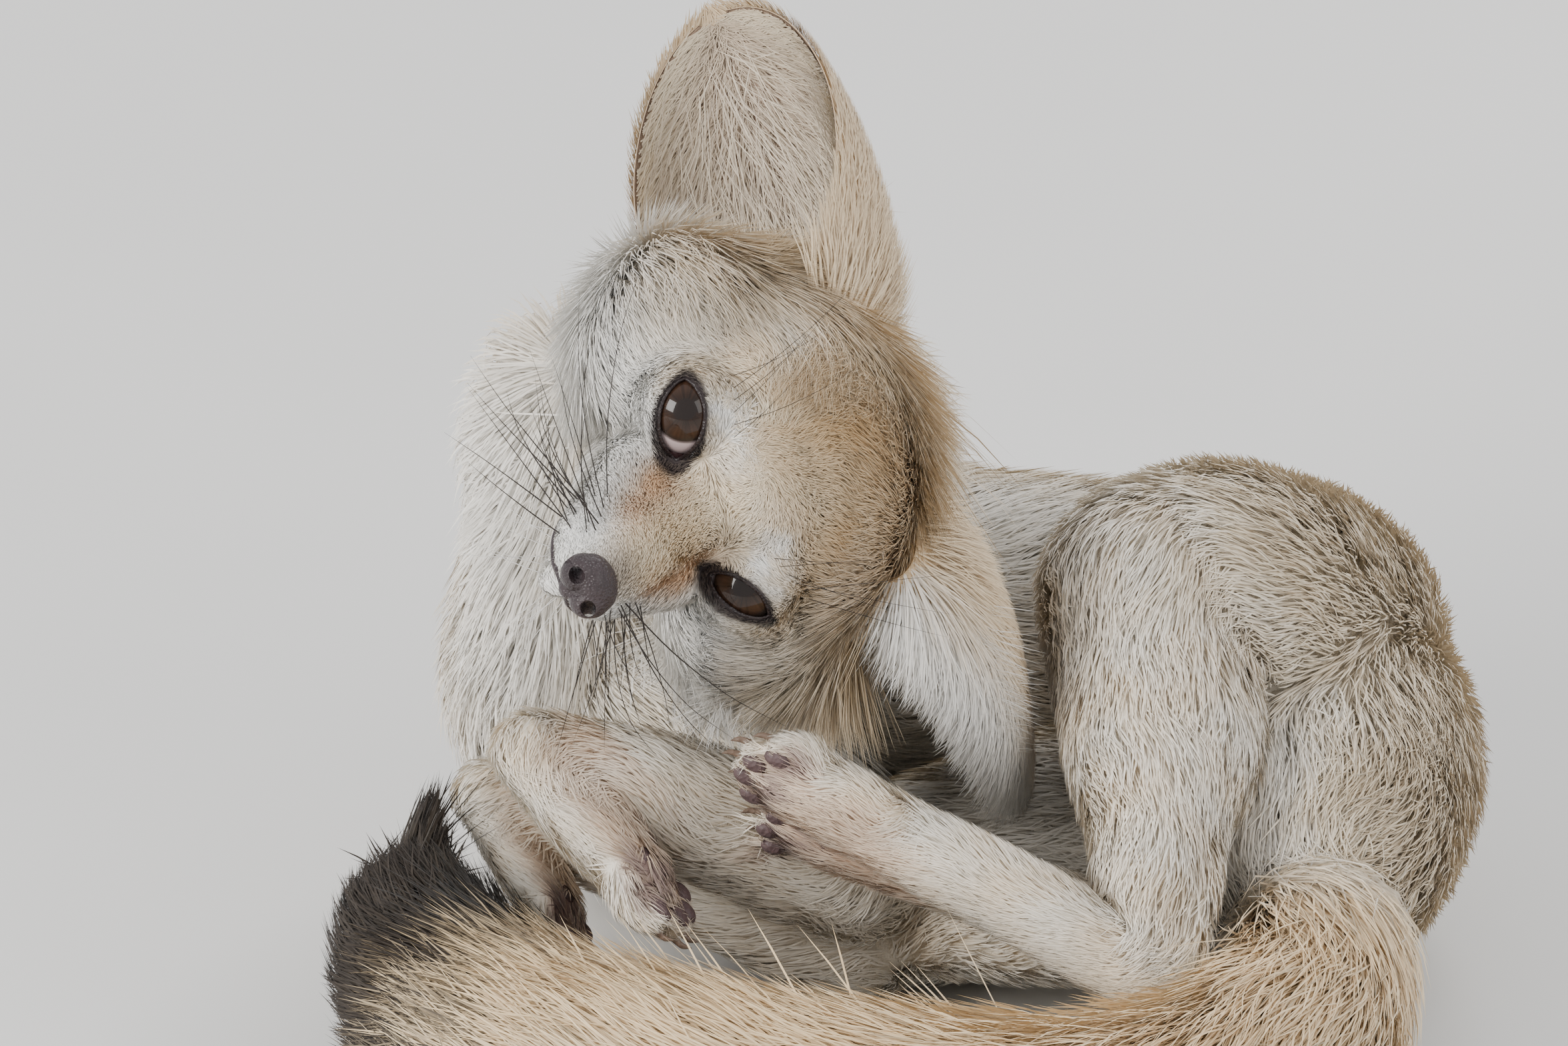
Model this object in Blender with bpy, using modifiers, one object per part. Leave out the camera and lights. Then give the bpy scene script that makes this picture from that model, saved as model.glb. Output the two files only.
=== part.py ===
"""A fennec fox, life size, lying curled on its right hip.

The trunk bends in a C that is open towards -Y, with the rump at +X and the chest at -X. The head is
turned back over the fox's left side and laid over, its left ear down, and the left hind foot is
raised to that ear. Both forelegs are folded in front of the chest. The brush lies round the front.
"""
import math
import random

import bmesh
import bpy
from mathutils import Matrix, Vector
from mathutils.bvhtree import BVHTree

MM = 0.001
GAP = 0.0003          # air between pieces that a thin slab parts
CLEARANCE = 0.0005    # swelling of a body that cuts its neighbour, a little less at its creases
FLOOR_BOX = 0.6       # edge of the block that levels whatever lies on the floor

# Driving sizes of an adult fox, in millimetres, outside the coat.
EYE_SPREAD = 38.0     # between the centres of the eyeballs
EYE_RADIUS = 8.8
LID = 1.6             # thickness of an eyelid
EAR_LENGTH = 90.0
EAR_WIDTH = 50.0
EAR_WALL = 1.6
TRUNK_R = 43.0        # half the height of the ribcage as it lies
BRUSH_CORE = 0.46     # the tail's own flesh and underfur, as a share of the brush
BRUSH_PARTS = (("tail_base", 0.0), ("tail_rear", 0.2), ("tail_middle", 0.41), ("tail_fore", 0.6),
               ("tail_tip", 0.78))     # each length and where it begins, as a share of the tail
BRUSH_RING = 25.0     # between two rows of the brush's locks
BRUSH_LOCKS = 8       # in one row
BRUSH_LOCK = (46.0, 6.0)          # length along the lie, thickness
RUFF_LOCKS = 9        # in one row
RUFF_LOCK = (31.0, 20.0, 6.0)     # length, width, thickness
RUFF_SUNK = 6.0       # how deep a ruff lock is rooted
RUFF_AXIS = [Vector(p) for p in ((-27, 21, 80), (-16, 16, 97), (-6, 4, 112), (0, -10, 124),
                                 (4, -22, 133))]    # up the neck, one row to each place but the last
LOCK_PLACES = (0.0, 0.36, 0.7, 1.0)    # a lock's rings and its tip, along its length
LOCK_TAPER = (0.65, 1.0, 0.78)         # its width at each ring

# The head's place and bearing.
EYES_AT = Vector((-14.4, -62.0, 132.4))      # the point between the eyes
HEAD_FORWARD = Vector((-0.306, -0.950, 0.064))
HEAD_UP = Vector((0.903, -0.267, 0.341))

# The skeleton's points, in millimetres, seen as the fox lies.
RUMP = Vector((106, -20, 40))
PELVIS = Vector((104, 14, 41))
LOIN = Vector((90, 46, 41))
WAIST = Vector((54, 60, 40))
RIBS = Vector((10, 58, 41))
BREAST = Vector((-26, 36, 43))
WITHERS = Vector((-24, 30, 72))
NECK = Vector((-10, 14, 100))

HIP_L = Vector((104, 30, 56))
KNEE_L = Vector((74, -10, 88))
HOCK_L = Vector((73, -88, 42))
TOES_L = Vector((-10, -74, 84))

HIP_R = Vector((88, 16, 26))
KNEE_R = Vector((16, -18, 23))
HOCK_R = Vector((76, -62, 34))
TOES_R = Vector((-6, -64, 66))

SHOULDER_L = Vector((-34, 8, 66))
ELBOW_L = Vector((14, -36, 38))
WRIST_L = Vector((-51, -60, 77))
PAW_L = Vector((-19, -77, 43))

SHOULDER_R = Vector((-36, 16, 28))
ELBOW_R = Vector((14, -30, 16))
WRIST_R = Vector((-60, -38, 56))
PAW_R = Vector((-40, -54, 24))

TAIL = [Vector(p) for p in ((104, -22, 40), (108, -66, 32), (92, -112, 29), (52, -134, 28),
                            (4, -130, 28), (-40, -110, 28), (-66, -84, 31), (-75, -64, 41))]
TAIL_R = (20, 24, 28, 29.5, 30.5, 29.5, 24, 14)


WHOLE = {}            # each fused body's mesh before anything is cut from it


# Helpers

def clear_scene():
    for obj in list(bpy.data.objects):
        bpy.data.objects.remove(obj)


def collection(name):
    made = bpy.data.collections.new(name)
    bpy.context.scene.collection.children.link(made)
    return made


def object_of(name, bm, home):
    mesh = bpy.data.meshes.new(name)
    bm.to_mesh(mesh)
    bm.free()
    obj = bpy.data.objects.new(name, mesh)
    home.objects.link(obj)
    return obj


def evaluated_mesh(obj):
    graph = bpy.context.evaluated_depsgraph_get()
    return bpy.data.meshes.new_from_object(obj.evaluated_get(graph))


def apply_modifiers(obj):
    mesh = evaluated_mesh(obj)
    obj.modifiers.clear()
    obj.data = mesh


def axes(forward, up):
    """A rotation whose Y is forward and whose Z is as near up as that allows."""
    y = forward.normalized()
    x = y.cross(up).normalized()
    return Matrix((x, y, x.cross(y))).transposed()


def egg(at, radii, turn=Matrix.Identity(3), segments=20):
    """An ellipsoid, in millimetres."""
    bm = bmesh.new()
    bmesh.ops.create_uvsphere(bm, u_segments=segments, v_segments=segments * 3 // 4, radius=1.0)
    size = Matrix.Diagonal(Vector(radii) * MM).to_4x4()
    place = Matrix.Translation(at * MM) @ turn.to_4x4() @ size
    bmesh.ops.transform(bm, matrix=place, verts=bm.verts)
    return bm


def smooth_path(points, radii, steps):
    """Catmull-Rom through the points, with the radii eased along it."""
    found = []
    count = len(points)
    for i in range(count - 1):
        a, b, c, d = (points[min(max(i + k, 0), count - 1)] for k in (-1, 0, 1, 2))
        for step in range(steps):
            t = step / steps
            spot = 0.5 * ((2 * b) + (c - a) * t + (2 * a - 5 * b + 4 * c - d) * t ** 2
                          + (3 * b - a - 3 * c + d) * t ** 3)
            ease = t * t * (3 - 2 * t)
            found.append((spot, radii[i] * (1 - ease) + radii[i + 1] * ease))
    found.append((points[-1], radii[-1]))
    return found


def sausage(points, radii, steps=4):
    """Balls along a smooth path, close enough to read as one tapered limb once fused."""
    bm = bmesh.new()
    path = smooth_path(points, radii, steps)
    for (a, ra), (b, rb) in zip(path, path[1:]):
        joint = bmesh.new()
        bmesh.ops.create_cone(joint, cap_ends=True, segments=16, radius1=ra * MM, radius2=rb * MM,
                              depth=(b - a).length * MM)
        turn = (b - a).to_track_quat('Z', 'Y').to_matrix().to_4x4()
        bmesh.ops.transform(joint, matrix=Matrix.Translation((a + b) / 2 * MM) @ turn,
                            verts=joint.verts)
        pour(joint, bm)
    for spot, radius in path:
        pour(egg(spot, (radius,) * 3, segments=16), bm)
    return bm


def pour(source, into):
    """Adds one bmesh's faces to another and frees it."""
    mesh = bpy.data.meshes.new("poured")
    source.to_mesh(mesh)
    source.free()
    into.from_mesh(mesh)
    bpy.data.meshes.remove(mesh)


def fuse(name, pieces, home, voxel, smoothing, triangles):
    """One smooth closed body out of overlapping pieces, with about that many triangles."""
    bm = bmesh.new()
    for piece in pieces:
        pour(piece, bm)
    obj = object_of(name, bm, home)
    remesh = obj.modifiers.new("Fuse", 'REMESH')
    remesh.mode = 'VOXEL'
    remesh.voxel_size = voxel * MM
    soften = obj.modifiers.new("Soften", 'SMOOTH')
    soften.factor = 0.5
    soften.iterations = smoothing
    apply_modifiers(obj)
    thin_out(obj, triangles)
    WHOLE[name] = obj.data.copy()
    return obj


def thin_out(obj, triangles):
    faces = sum(len(p.vertices) - 2 for p in obj.data.polygons)
    decimate = obj.modifiers.new("Thin out", 'DECIMATE')
    decimate.ratio = min(1.0, triangles / faces)
    decimate.use_collapse_triangulate = True
    apply_modifiers(obj)


def boolean(obj, other, operation):
    step = obj.modifiers.new(operation.title(), 'BOOLEAN')
    step.operation = operation
    step.object = other
    step.solver = 'MANIFOLD'
    apply_modifiers(obj)


def keep_largest(obj):
    """Drops every loose scrap but the biggest closed surface."""
    bm = bmesh.new()
    bm.from_mesh(obj.data)
    left, shells = set(bm.verts), []
    while left:
        shell, front = set(), [next(iter(left))]
        while front:
            vert = front.pop()
            if vert in shell:
                continue
            shell.add(vert)
            front.extend(edge.other_vert(vert) for edge in vert.link_edges)
        left -= shell
        shells.append(shell)
    shells.sort(key=len, reverse=True)
    for shell in shells[1:]:
        bmesh.ops.delete(bm, geom=list(shell), context='VERTS')
    bm.to_mesh(obj.data)
    bm.free()


def grown(obj, margin, cutters, which=None):
    """The whole body, thicker all round by the margin, to cut its neighbours with."""
    copy = bpy.data.objects.new(obj.name + "_clearance", WHOLE[which or obj.name].copy())
    cutters.objects.link(copy)
    swell = copy.modifiers.new("Swell", 'DISPLACE')
    swell.strength = margin
    swell.mid_level = 0.0
    apply_modifiers(copy)
    copy.hide_render = True
    copy.display_type = 'WIRE'
    return copy


def apart(one, other):
    """Whether the boxes round two meshes are clear of each other."""
    for k in range(3):
        a = [v.co[k] for v in one.vertices]
        b = [v.co[k] for v in other.vertices]
        if min(a) > max(b) + MM or min(b) > max(a) + MM:
            return True
    return False


def seat(child, parents, cutters):
    """Cuts the child back to a hair's gap from each body that it grows from or rests against."""
    for parent in parents:
        if apart(child.data, WHOLE[parent.name]):
            continue
        boolean(child, grown(parent, CLEARANCE, cutters), 'DIFFERENCE')
        keep_largest(child)


def envelope(parents, margin, cutters):
    """One smooth body round several, thicker by the margin."""
    bm = bmesh.new()
    for parent in parents:
        bm.from_mesh(parent.data)
    obj = object_of("envelope", bm, cutters)
    swell = obj.modifiers.new("Swell", 'DISPLACE')
    swell.strength = margin
    swell.mid_level = 0.0
    remesh = obj.modifiers.new("Fuse", 'REMESH')
    remesh.mode = 'VOXEL'
    remesh.voxel_size = 1.2 * MM
    apply_modifiers(obj)
    thin_out(obj, 700)
    return obj


def paint(obj, name, colour, roughness):
    material = bpy.data.materials.get(name) or bpy.data.materials.new(name)
    material.use_nodes = True
    shader = material.node_tree.nodes["Principled BSDF"]
    shader.inputs["Base Color"].default_value = (*colour, 1.0)
    shader.inputs["Roughness"].default_value = roughness
    shader.inputs["Metallic"].default_value = 0.0
    obj.data.materials.clear()
    obj.data.materials.append(material)


# Locks of long fur

def lock(spine, widths, thickness, broad, swell=0.0):
    """A flat closed blade along a spine, ridged outside and drawn to a point at its last place."""
    bm = bmesh.new()
    spine = list(spine)
    if swell:
        spine[0] += (spine[0] - spine[1]).normalized() * swell
        spine[-1] += (spine[-1] - spine[-2]).normalized() * swell * 4
        widths = [w + 3 * swell for w in widths]
        thickness += 3 * swell
    rings = []
    for i, spot in enumerate(spine[:-1]):
        along = (spine[i + 1] - spine[max(i - 1, 0)]).normalized()
        side = (broad[i] - along * broad[i].dot(along)).normalized()
        inward = along.cross(side)
        half, deep = widths[i] / 2, thickness * widths[i] / max(widths) / 2
        rings.append([bm.verts.new((spot + offset) * MM)
                      for offset in (side * half + inward * deep, -inward * deep,
                                     -side * half + inward * deep)])
    tip = bm.verts.new(spine[-1] * MM)
    bm.faces.new(rings[0])
    for low, high in zip(rings, rings[1:]):
        for k in range(3):
            bm.faces.new((low[k], low[(k + 1) % 3], high[(k + 1) % 3]))
            bm.faces.new((low[k], high[(k + 1) % 3], high[k]))
    for k in range(3):
        bm.faces.new((rings[-1][k], rings[-1][(k + 1) % 3], tip))
    bmesh.ops.recalc_face_normals(bm, faces=bm.faces)
    return bm


def join_locks(core, locks, swell=0.0, scraps=False):
    """Fuses every lock with the core in one union and keeps the one closed surface."""
    strands = collection("locks")
    strands.hide_render = True
    for i, shape in enumerate(locks):
        object_of("lock_%03d" % i, lock(*shape, swell=swell), strands)
    step = core.modifiers.new("Union", 'BOOLEAN')
    step.operation = 'UNION'
    step.operand_type = 'COLLECTION'
    step.collection = strands
    step.solver = 'MANIFOLD'
    apply_modifiers(core)
    if not scraps:
        keep_largest(core)
    for obj in list(strands.objects):
        bpy.data.objects.remove(obj)
    bpy.data.collections.remove(strands)


class Brush:
    """The tail's centre line by distance, carried straight on past its end."""

    def __init__(self):
        path = smooth_path(TAIL, TAIL_R, 6)
        self.spots = [spot for spot, radius in path]
        self.radii = [radius for spot, radius in path]
        self.ways = [0.0]
        for a, b in zip(self.spots, self.spots[1:]):
            self.ways.append(self.ways[-1] + (b - a).length)
        self.length = self.ways[-1]

    def at(self, way):
        """Centre, heading and radius at a distance along the tail."""
        i = max(k for k in range(len(self.ways) - 1) if self.ways[k] <= max(way, 0.0))
        span = self.ways[i + 1] - self.ways[i]
        t = (way - self.ways[i]) / span
        heading = (self.spots[i + 1] - self.spots[i]).normalized()
        centre = self.spots[i].lerp(self.spots[i + 1], t)
        return centre, heading, self.radii[i] + (self.radii[i + 1] - self.radii[i]) * min(t, 1.0)

    def point(self, way, angle, out):
        """A place round the tail, at a distance out from its centre."""
        centre, heading = self.at(way)[:2]
        side = heading.cross(Vector((0, 0, 1))).normalized()
        top = side.cross(heading)
        return centre + (top * math.cos(angle) + side * math.sin(angle)) * out

    def broad(self, way, angle):
        centre, heading = self.at(way)[:2]
        outward = self.point(way, angle, 1.0) - centre
        return heading.cross(outward)


def brush_locks(brush, rng):
    """Rows of locks that leave the core at a slant and lie along the tail, with where each begins."""
    length, thickness = BRUSH_LOCK
    rows = int((brush.length - 6) / BRUSH_RING)
    locks = []
    for row in range(rows + 2):
        last = row >= rows
        start = min(8 + row * BRUSH_RING, brush.length - 3)
        count = BRUSH_LOCKS - 3 if row == rows + 1 else BRUSH_LOCKS
        for k in range(count):
            angle = 2 * math.pi * (k + 0.5 * (row % 2)) / count + rng.uniform(-0.12, 0.12)
            begin = start + rng.uniform(-3, 3)
            reach = length * rng.uniform(0.88, 1.1) * (0.75 if last else 1.0)
            radius = brush.at(begin)[2]
            full = rng.uniform(0.93, 1.04) * (0.6 if row == rows + 1 else 1.0)
            spine, broad, widths = [], [], []
            for t in LOCK_PLACES:
                rise = 0.22 + (full - 0.22) * math.sin(t * math.pi / 2) ** 0.9
                way = begin + reach * t ** 1.15
                spine.append(brush.point(way, angle + 0.15 * t, radius * rise))
                broad.append(brush.broad(way, angle))
                widths.append(2 * math.pi * radius * rise / BRUSH_LOCKS * (1.0 if t < 0.5 else 0.92))
            locks.append((begin, (spine, widths[:-1], thickness, broad)))
    return locks


def tail_lengths(brush, rng, cutters, home):
    """The brush in lengths: each one's locks lie over the root of the next, which makes way."""
    core = fuse(BRUSH_PARTS[0][0], [sausage(TAIL, [r * BRUSH_CORE for r in TAIL_R])], home, 2.5, 4, 260)
    cores = [core]
    for name, share in BRUSH_PARTS[:0:-1]:
        centre, heading = brush.at(brush.length * share)[:2]
        cores.insert(1, part_off(core, name, centre, heading, cutters, home, half=25.0))
    locks = brush_locks(brush, rng)
    shares = [share for _, share in BRUSH_PARTS[1:]] + [2.0]
    before = 0.0
    above = []
    for piece, share in zip(cores, shares):
        WHOLE[piece.name] = piece.data.copy()
        own = [shape for begin, shape in locks if before <= begin / brush.length < share]
        before = share
        join_locks(piece, own)
        for earlier in above:
            boolean(piece, earlier, 'DIFFERENCE')
        keep_largest(piece)
        twin = object_of("above", lock(*own[0], swell=CLEARANCE / MM), cutters)
        join_locks(twin, own[1:], CLEARANCE / MM, scraps=True)
        itself = bpy.data.objects.new("itself", piece.data.copy())
        cutters.objects.link(itself)
        above = [twin, grown(piece, CLEARANCE, cutters), itself]
    return cores


def surface_of(mesh):
    return BVHTree.FromPolygons([v.co for v in mesh.vertices], [p.vertices for p in mesh.polygons])


def within(surface, spot):
    """Whether a spot, in millimetres, lies inside a closed surface."""
    near, normal = surface.find_nearest(spot * MM)[:2]
    return (spot * MM - near).dot(normal) < 0


def ruff_locks(neck, bodies, rng):
    """Locks round the neck that spring from its skin and lie down and back from the head."""
    surface = surface_of(neck.data)
    neighbours = [surface_of(WHOLE[body.name]) for body in bodies]
    length, width, thickness = RUFF_LOCK
    locks = []
    for row, (centre, after) in enumerate(zip(RUFF_AXIS, RUFF_AXIS[1:])):
        heading = (centre - after).normalized()
        side = heading.cross(Vector((0, 1, 0))).normalized()
        top = side.cross(heading)
        for k in range(RUFF_LOCKS):
            angle = 2 * math.pi * (k + 0.5 * (row % 2)) / RUFF_LOCKS + rng.uniform(-0.12, 0.12)
            outward = top * math.cos(angle) + side * math.sin(angle)
            hit, normal = surface.ray_cast((centre + outward * 90) * MM, -outward)[:2]
            if hit is None:
                continue
            outward = (outward + 2 * normal).normalized()
            root = hit / MM - outward * RUFF_SUNK
            lie = (heading - outward * heading.dot(outward)).normalized()
            reach = length * rng.uniform(0.85, 1.15)
            stand = rng.uniform(6.5, 9.0) + RUFF_SUNK
            bent = [root + lie * reach * t ** 1.3 + outward * stand * math.sin(t * math.pi / 2)
                    for t in LOCK_PLACES]
            if any(within(body, bent[2]) for body in neighbours):
                continue
            locks.append((bent, [width * w for w in LOCK_TAPER], thickness,
                          [lie.cross(outward)] * len(LOCK_TAPER)))
    return locks


# Head, in its own axes: X to the fox's right, Y forward, Z to the crown, from between the eyes

HEAD_TURN = axes(HEAD_FORWARD, HEAD_UP)
RIGHT, LEFT = 1, -1


def on_head(x, y, z):
    return EYES_AT + HEAD_TURN @ Vector((x, y, z))


def head_egg(x, y, z, radii, tilt=0.0):
    turn = HEAD_TURN @ Matrix.Rotation(math.radians(tilt), 3, 'X')
    return egg(on_head(x, y, z), radii, turn)


def head_sausage(points, radii):
    return sausage([on_head(*p) for p in points], radii)


def head_forms():
    """Skull, muzzle, jaw and the fur of the cheeks."""
    forms = [
        head_egg(0, -28, 2, (39, 32, 29)),
        head_egg(0, -12, 7, (23, 19, 17)),
        head_egg(0, -30, -7, (49, 25, 23)),
        head_egg(0, 2, -9, (17, 16, 13)),
        head_sausage([(0, -4, -8), (0, 16, -11), (0, 35, -14)], (16, 11.8, 8.2)),
        head_sausage([(0, -16, -20), (0, 14, -22), (0, 31, -23.5)], (15, 8.8, 5.6)),
    ]
    for side in (RIGHT, LEFT):
        forms += [
            head_egg(side * 25, -22, -8, (21, 19, 19)),
            head_sausage([(side * 10, 2, -13), (side * 6.5, 24, -17), (side * 4, 33, -18)],
                         (10, 7.6, 5.4)),
            head_egg(side * 17, -3, 8, (9, 7, 7)),
        ]
    return forms


def eye_at(side):
    return on_head(side * EYE_SPREAD / 2, -3.0, 0)


def eye_bearing(side):
    """An eye looks forward and outward. The axes' Y is the line of sight."""
    outward = Matrix.Rotation(-side * math.radians(30), 3, 'Z')
    return HEAD_TURN @ outward


def eye_opening(side, cutters):
    """A cutter with the almond outline of the parted lids, slanting down to the inner corner."""
    half_long, half_high, slant = 9.4, 4.7, math.radians(24)
    bm = bmesh.new()
    bmesh.ops.create_cone(bm, cap_ends=True, segments=24, radius1=1.0, radius2=1.0, depth=1.0)
    reach = 14.0
    for vert in bm.verts:
        angle = math.atan2(vert.co.y, vert.co.x)
        height = math.copysign(abs(math.sin(angle)) ** 1.25, math.sin(angle))
        along, across = half_long * math.cos(angle), half_high * height
        x = along * math.cos(slant * side) - across * math.sin(slant * side)
        z = along * math.sin(slant * side) + across * math.cos(slant * side)
        y = reach * (vert.co.z + 0.5)
        vert.co = Vector((x, y, z)) * MM
    bmesh.ops.recalc_face_normals(bm, faces=bm.faces)
    place = Matrix.Translation(eye_at(side) * MM) @ eye_bearing(side).to_4x4()
    bmesh.ops.transform(bm, matrix=place, verts=bm.verts)
    return object_of("lid_opening", bm, cutters)


def ball_object(name, at, radius, home, segments=16):
    return object_of(name, egg(at, (radius,) * 3, segments=segments), home)


def open_eyes(head, cutters):
    """Domed lids round each eyeball, parted in an almond, with a hollow for the ball."""
    for side in (RIGHT, LEFT):
        dome = ball_object("lid_dome", eye_at(side), EYE_RADIUS + 0.3 + LID, cutters)
        hollow = ball_object("eye_hollow", eye_at(side), EYE_RADIUS + 0.3, cutters)
        boolean(head, dome, 'UNION')
        boolean(head, eye_opening(side, cutters), 'DIFFERENCE')
        boolean(head, hollow, 'DIFFERENCE')
        keep_largest(head)


def mouth_cutter(cutters):
    """The line of the mouth: from under the nose back along both lips, a thin bent tube."""
    path = [(side * x, y, z) for side in (RIGHT, LEFT)
            for x, y, z in ((13.5, 6, -19), (11.5, 17, -21.5), (8, 28, -21.5), (4.5, 34, -21.5))]
    points = path[:4] + [(0, 36.5, -20.0)] + path[:3:-1]
    bm = sausage([on_head(*p) for p in points], [0.8] * len(points), steps=2)
    obj = object_of("mouth_line", bm, cutters)
    remesh = obj.modifiers.new("Fuse", 'REMESH')
    remesh.mode = 'VOXEL'
    remesh.voxel_size = 0.35 * MM
    apply_modifiers(obj)
    thin_out(obj, 130)
    return obj


def nostrils(nose, cutters):
    """Two comma-shaped holes that open forward and to the sides, and the groove between them."""
    cuts = [([(side * 2.9, 46, -12.2), (side * 3.9, 42, -13.0), (side * 6.4, 39.5, -15.0)],
             (1.5, 1.4, 0.9)) for side in (RIGHT, LEFT)]
    cuts.append(([(0, 46.0, -14.0), (0, 44.3, -17.0), (0, 42.0, -20.5)], (0.45, 0.45, 0.45)))
    for points, radii in cuts:
        bm = sausage([on_head(*p) for p in points], radii, steps=1)
        hole = object_of("nostril", bm, cutters)
        remesh = hole.modifiers.new("Fuse", 'REMESH')
        remesh.mode = 'VOXEL'
        remesh.voxel_size = 0.3 * MM
        apply_modifiers(hole)
        thin_out(hole, 60)
        boolean(nose, hole, 'DIFFERENCE')
        keep_largest(nose)


# Ears

EAR_LIE = {           # where each ear points, and which way its cup faces
    RIGHT: (Vector((-0.11, 0.92, 0.375)), Vector((-0.547, -0.36, 0.756))),
    LEFT: (Vector((0.353, 0.488, -0.798)), Vector((-0.88, -0.12, -0.46))),
}
EAR_ROOT = {RIGHT: (25, -27, 10), LEFT: (-22, -27, 15)}
EAR_BASE = {RIGHT: 0.68, LEFT: 0.5}    # width at the base, as a share of the widest
EAR_DEPTH = {RIGHT: 0.9, LEFT: 0.55}   # the left one is pressed flat by the foot


def ear_sheet(side):
    """The pinna as a curled sheet: nearly a tube at its base and wide open half way up."""
    base = on_head(*EAR_ROOT[side])
    along, mouth = (v.normalized() for v in EAR_LIE[side])
    mouth = (mouth - along * mouth.dot(along)).normalized()
    crownward = along.cross(mouth) * side
    rows, columns = 10, 12
    bm = bmesh.new()
    bmesh.ops.create_grid(bm, x_segments=columns, y_segments=rows, size=1.0)
    for vert in bm.verts:
        t = vert.co.x
        s = (vert.co.y + 1) / 2
        width = EAR_WIDTH / 2 * ear_profile(s, EAR_BASE[side])
        curl = math.radians(140 - 72 * s)
        radius = width / math.sin(min(curl, math.pi / 2))
        across = radius * math.sin(curl * t)
        depth = -radius * (math.cos(curl * t) - math.cos(curl))
        pouch = 5.0 * max(0.0, -t - 0.4) * math.exp(-((s - 0.2) / 0.13) ** 2)
        spot = (base + along * (EAR_LENGTH * s) + crownward * (across - pouch)
                + mouth * (depth * EAR_DEPTH[side] + pouch))
        vert.co = spot * MM
    bmesh.ops.recalc_face_normals(bm, faces=bm.faces)
    return bm


def ear_profile(s, base):
    """Half width of the pinna along its length, as a share of the widest."""
    rise = base + (1 - base) * math.sin(min(s / 0.45, 1.0) * math.pi / 2)
    fall = math.sqrt(max(0.0, 1 - max(0.0, (s - 0.42) / 0.585) ** 2.2))
    return rise * max(fall, 0.05)


def ear(name, side, home):
    obj = object_of(name, ear_sheet(side), home)
    wall = obj.modifiers.new("Wall", 'SOLIDIFY')
    wall.thickness = EAR_WALL * MM
    wall.offset = 0.0
    apply_modifiers(obj)
    return obj


# Legs and feet

def foot_forms(wrist, toes, palm, width, thick):
    """A paw: a flattened middle and four toes side by side."""
    along = (toes - wrist).normalized()
    turn = axes(along, -palm)
    across, up = turn.col[0], turn.col[2]
    length = (toes - wrist).length
    middle = wrist + along * length * 0.42
    forms = [egg(middle, (width * 0.46, length * 0.46, thick * 0.5), turn),
             sausage([wrist, middle, wrist + along * length * 0.68],
                     (thick * 0.55, thick * 0.52, thick * 0.5))]
    for place, reach in ((-0.38, 0.93), (-0.135, 1.0), (0.135, 1.0), (0.38, 0.93)):
        root = wrist + along * length * 0.62 + across * width * place * 0.8
        tip = wrist + along * (length * reach - thick * 0.3) + across * width * place
        knuckle = (root + tip) / 2 + up * thick * 0.12
        forms.append(sausage([root, knuckle, tip], (thick * 0.3, thick * 0.32, thick * 0.27)))
    return forms


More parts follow.
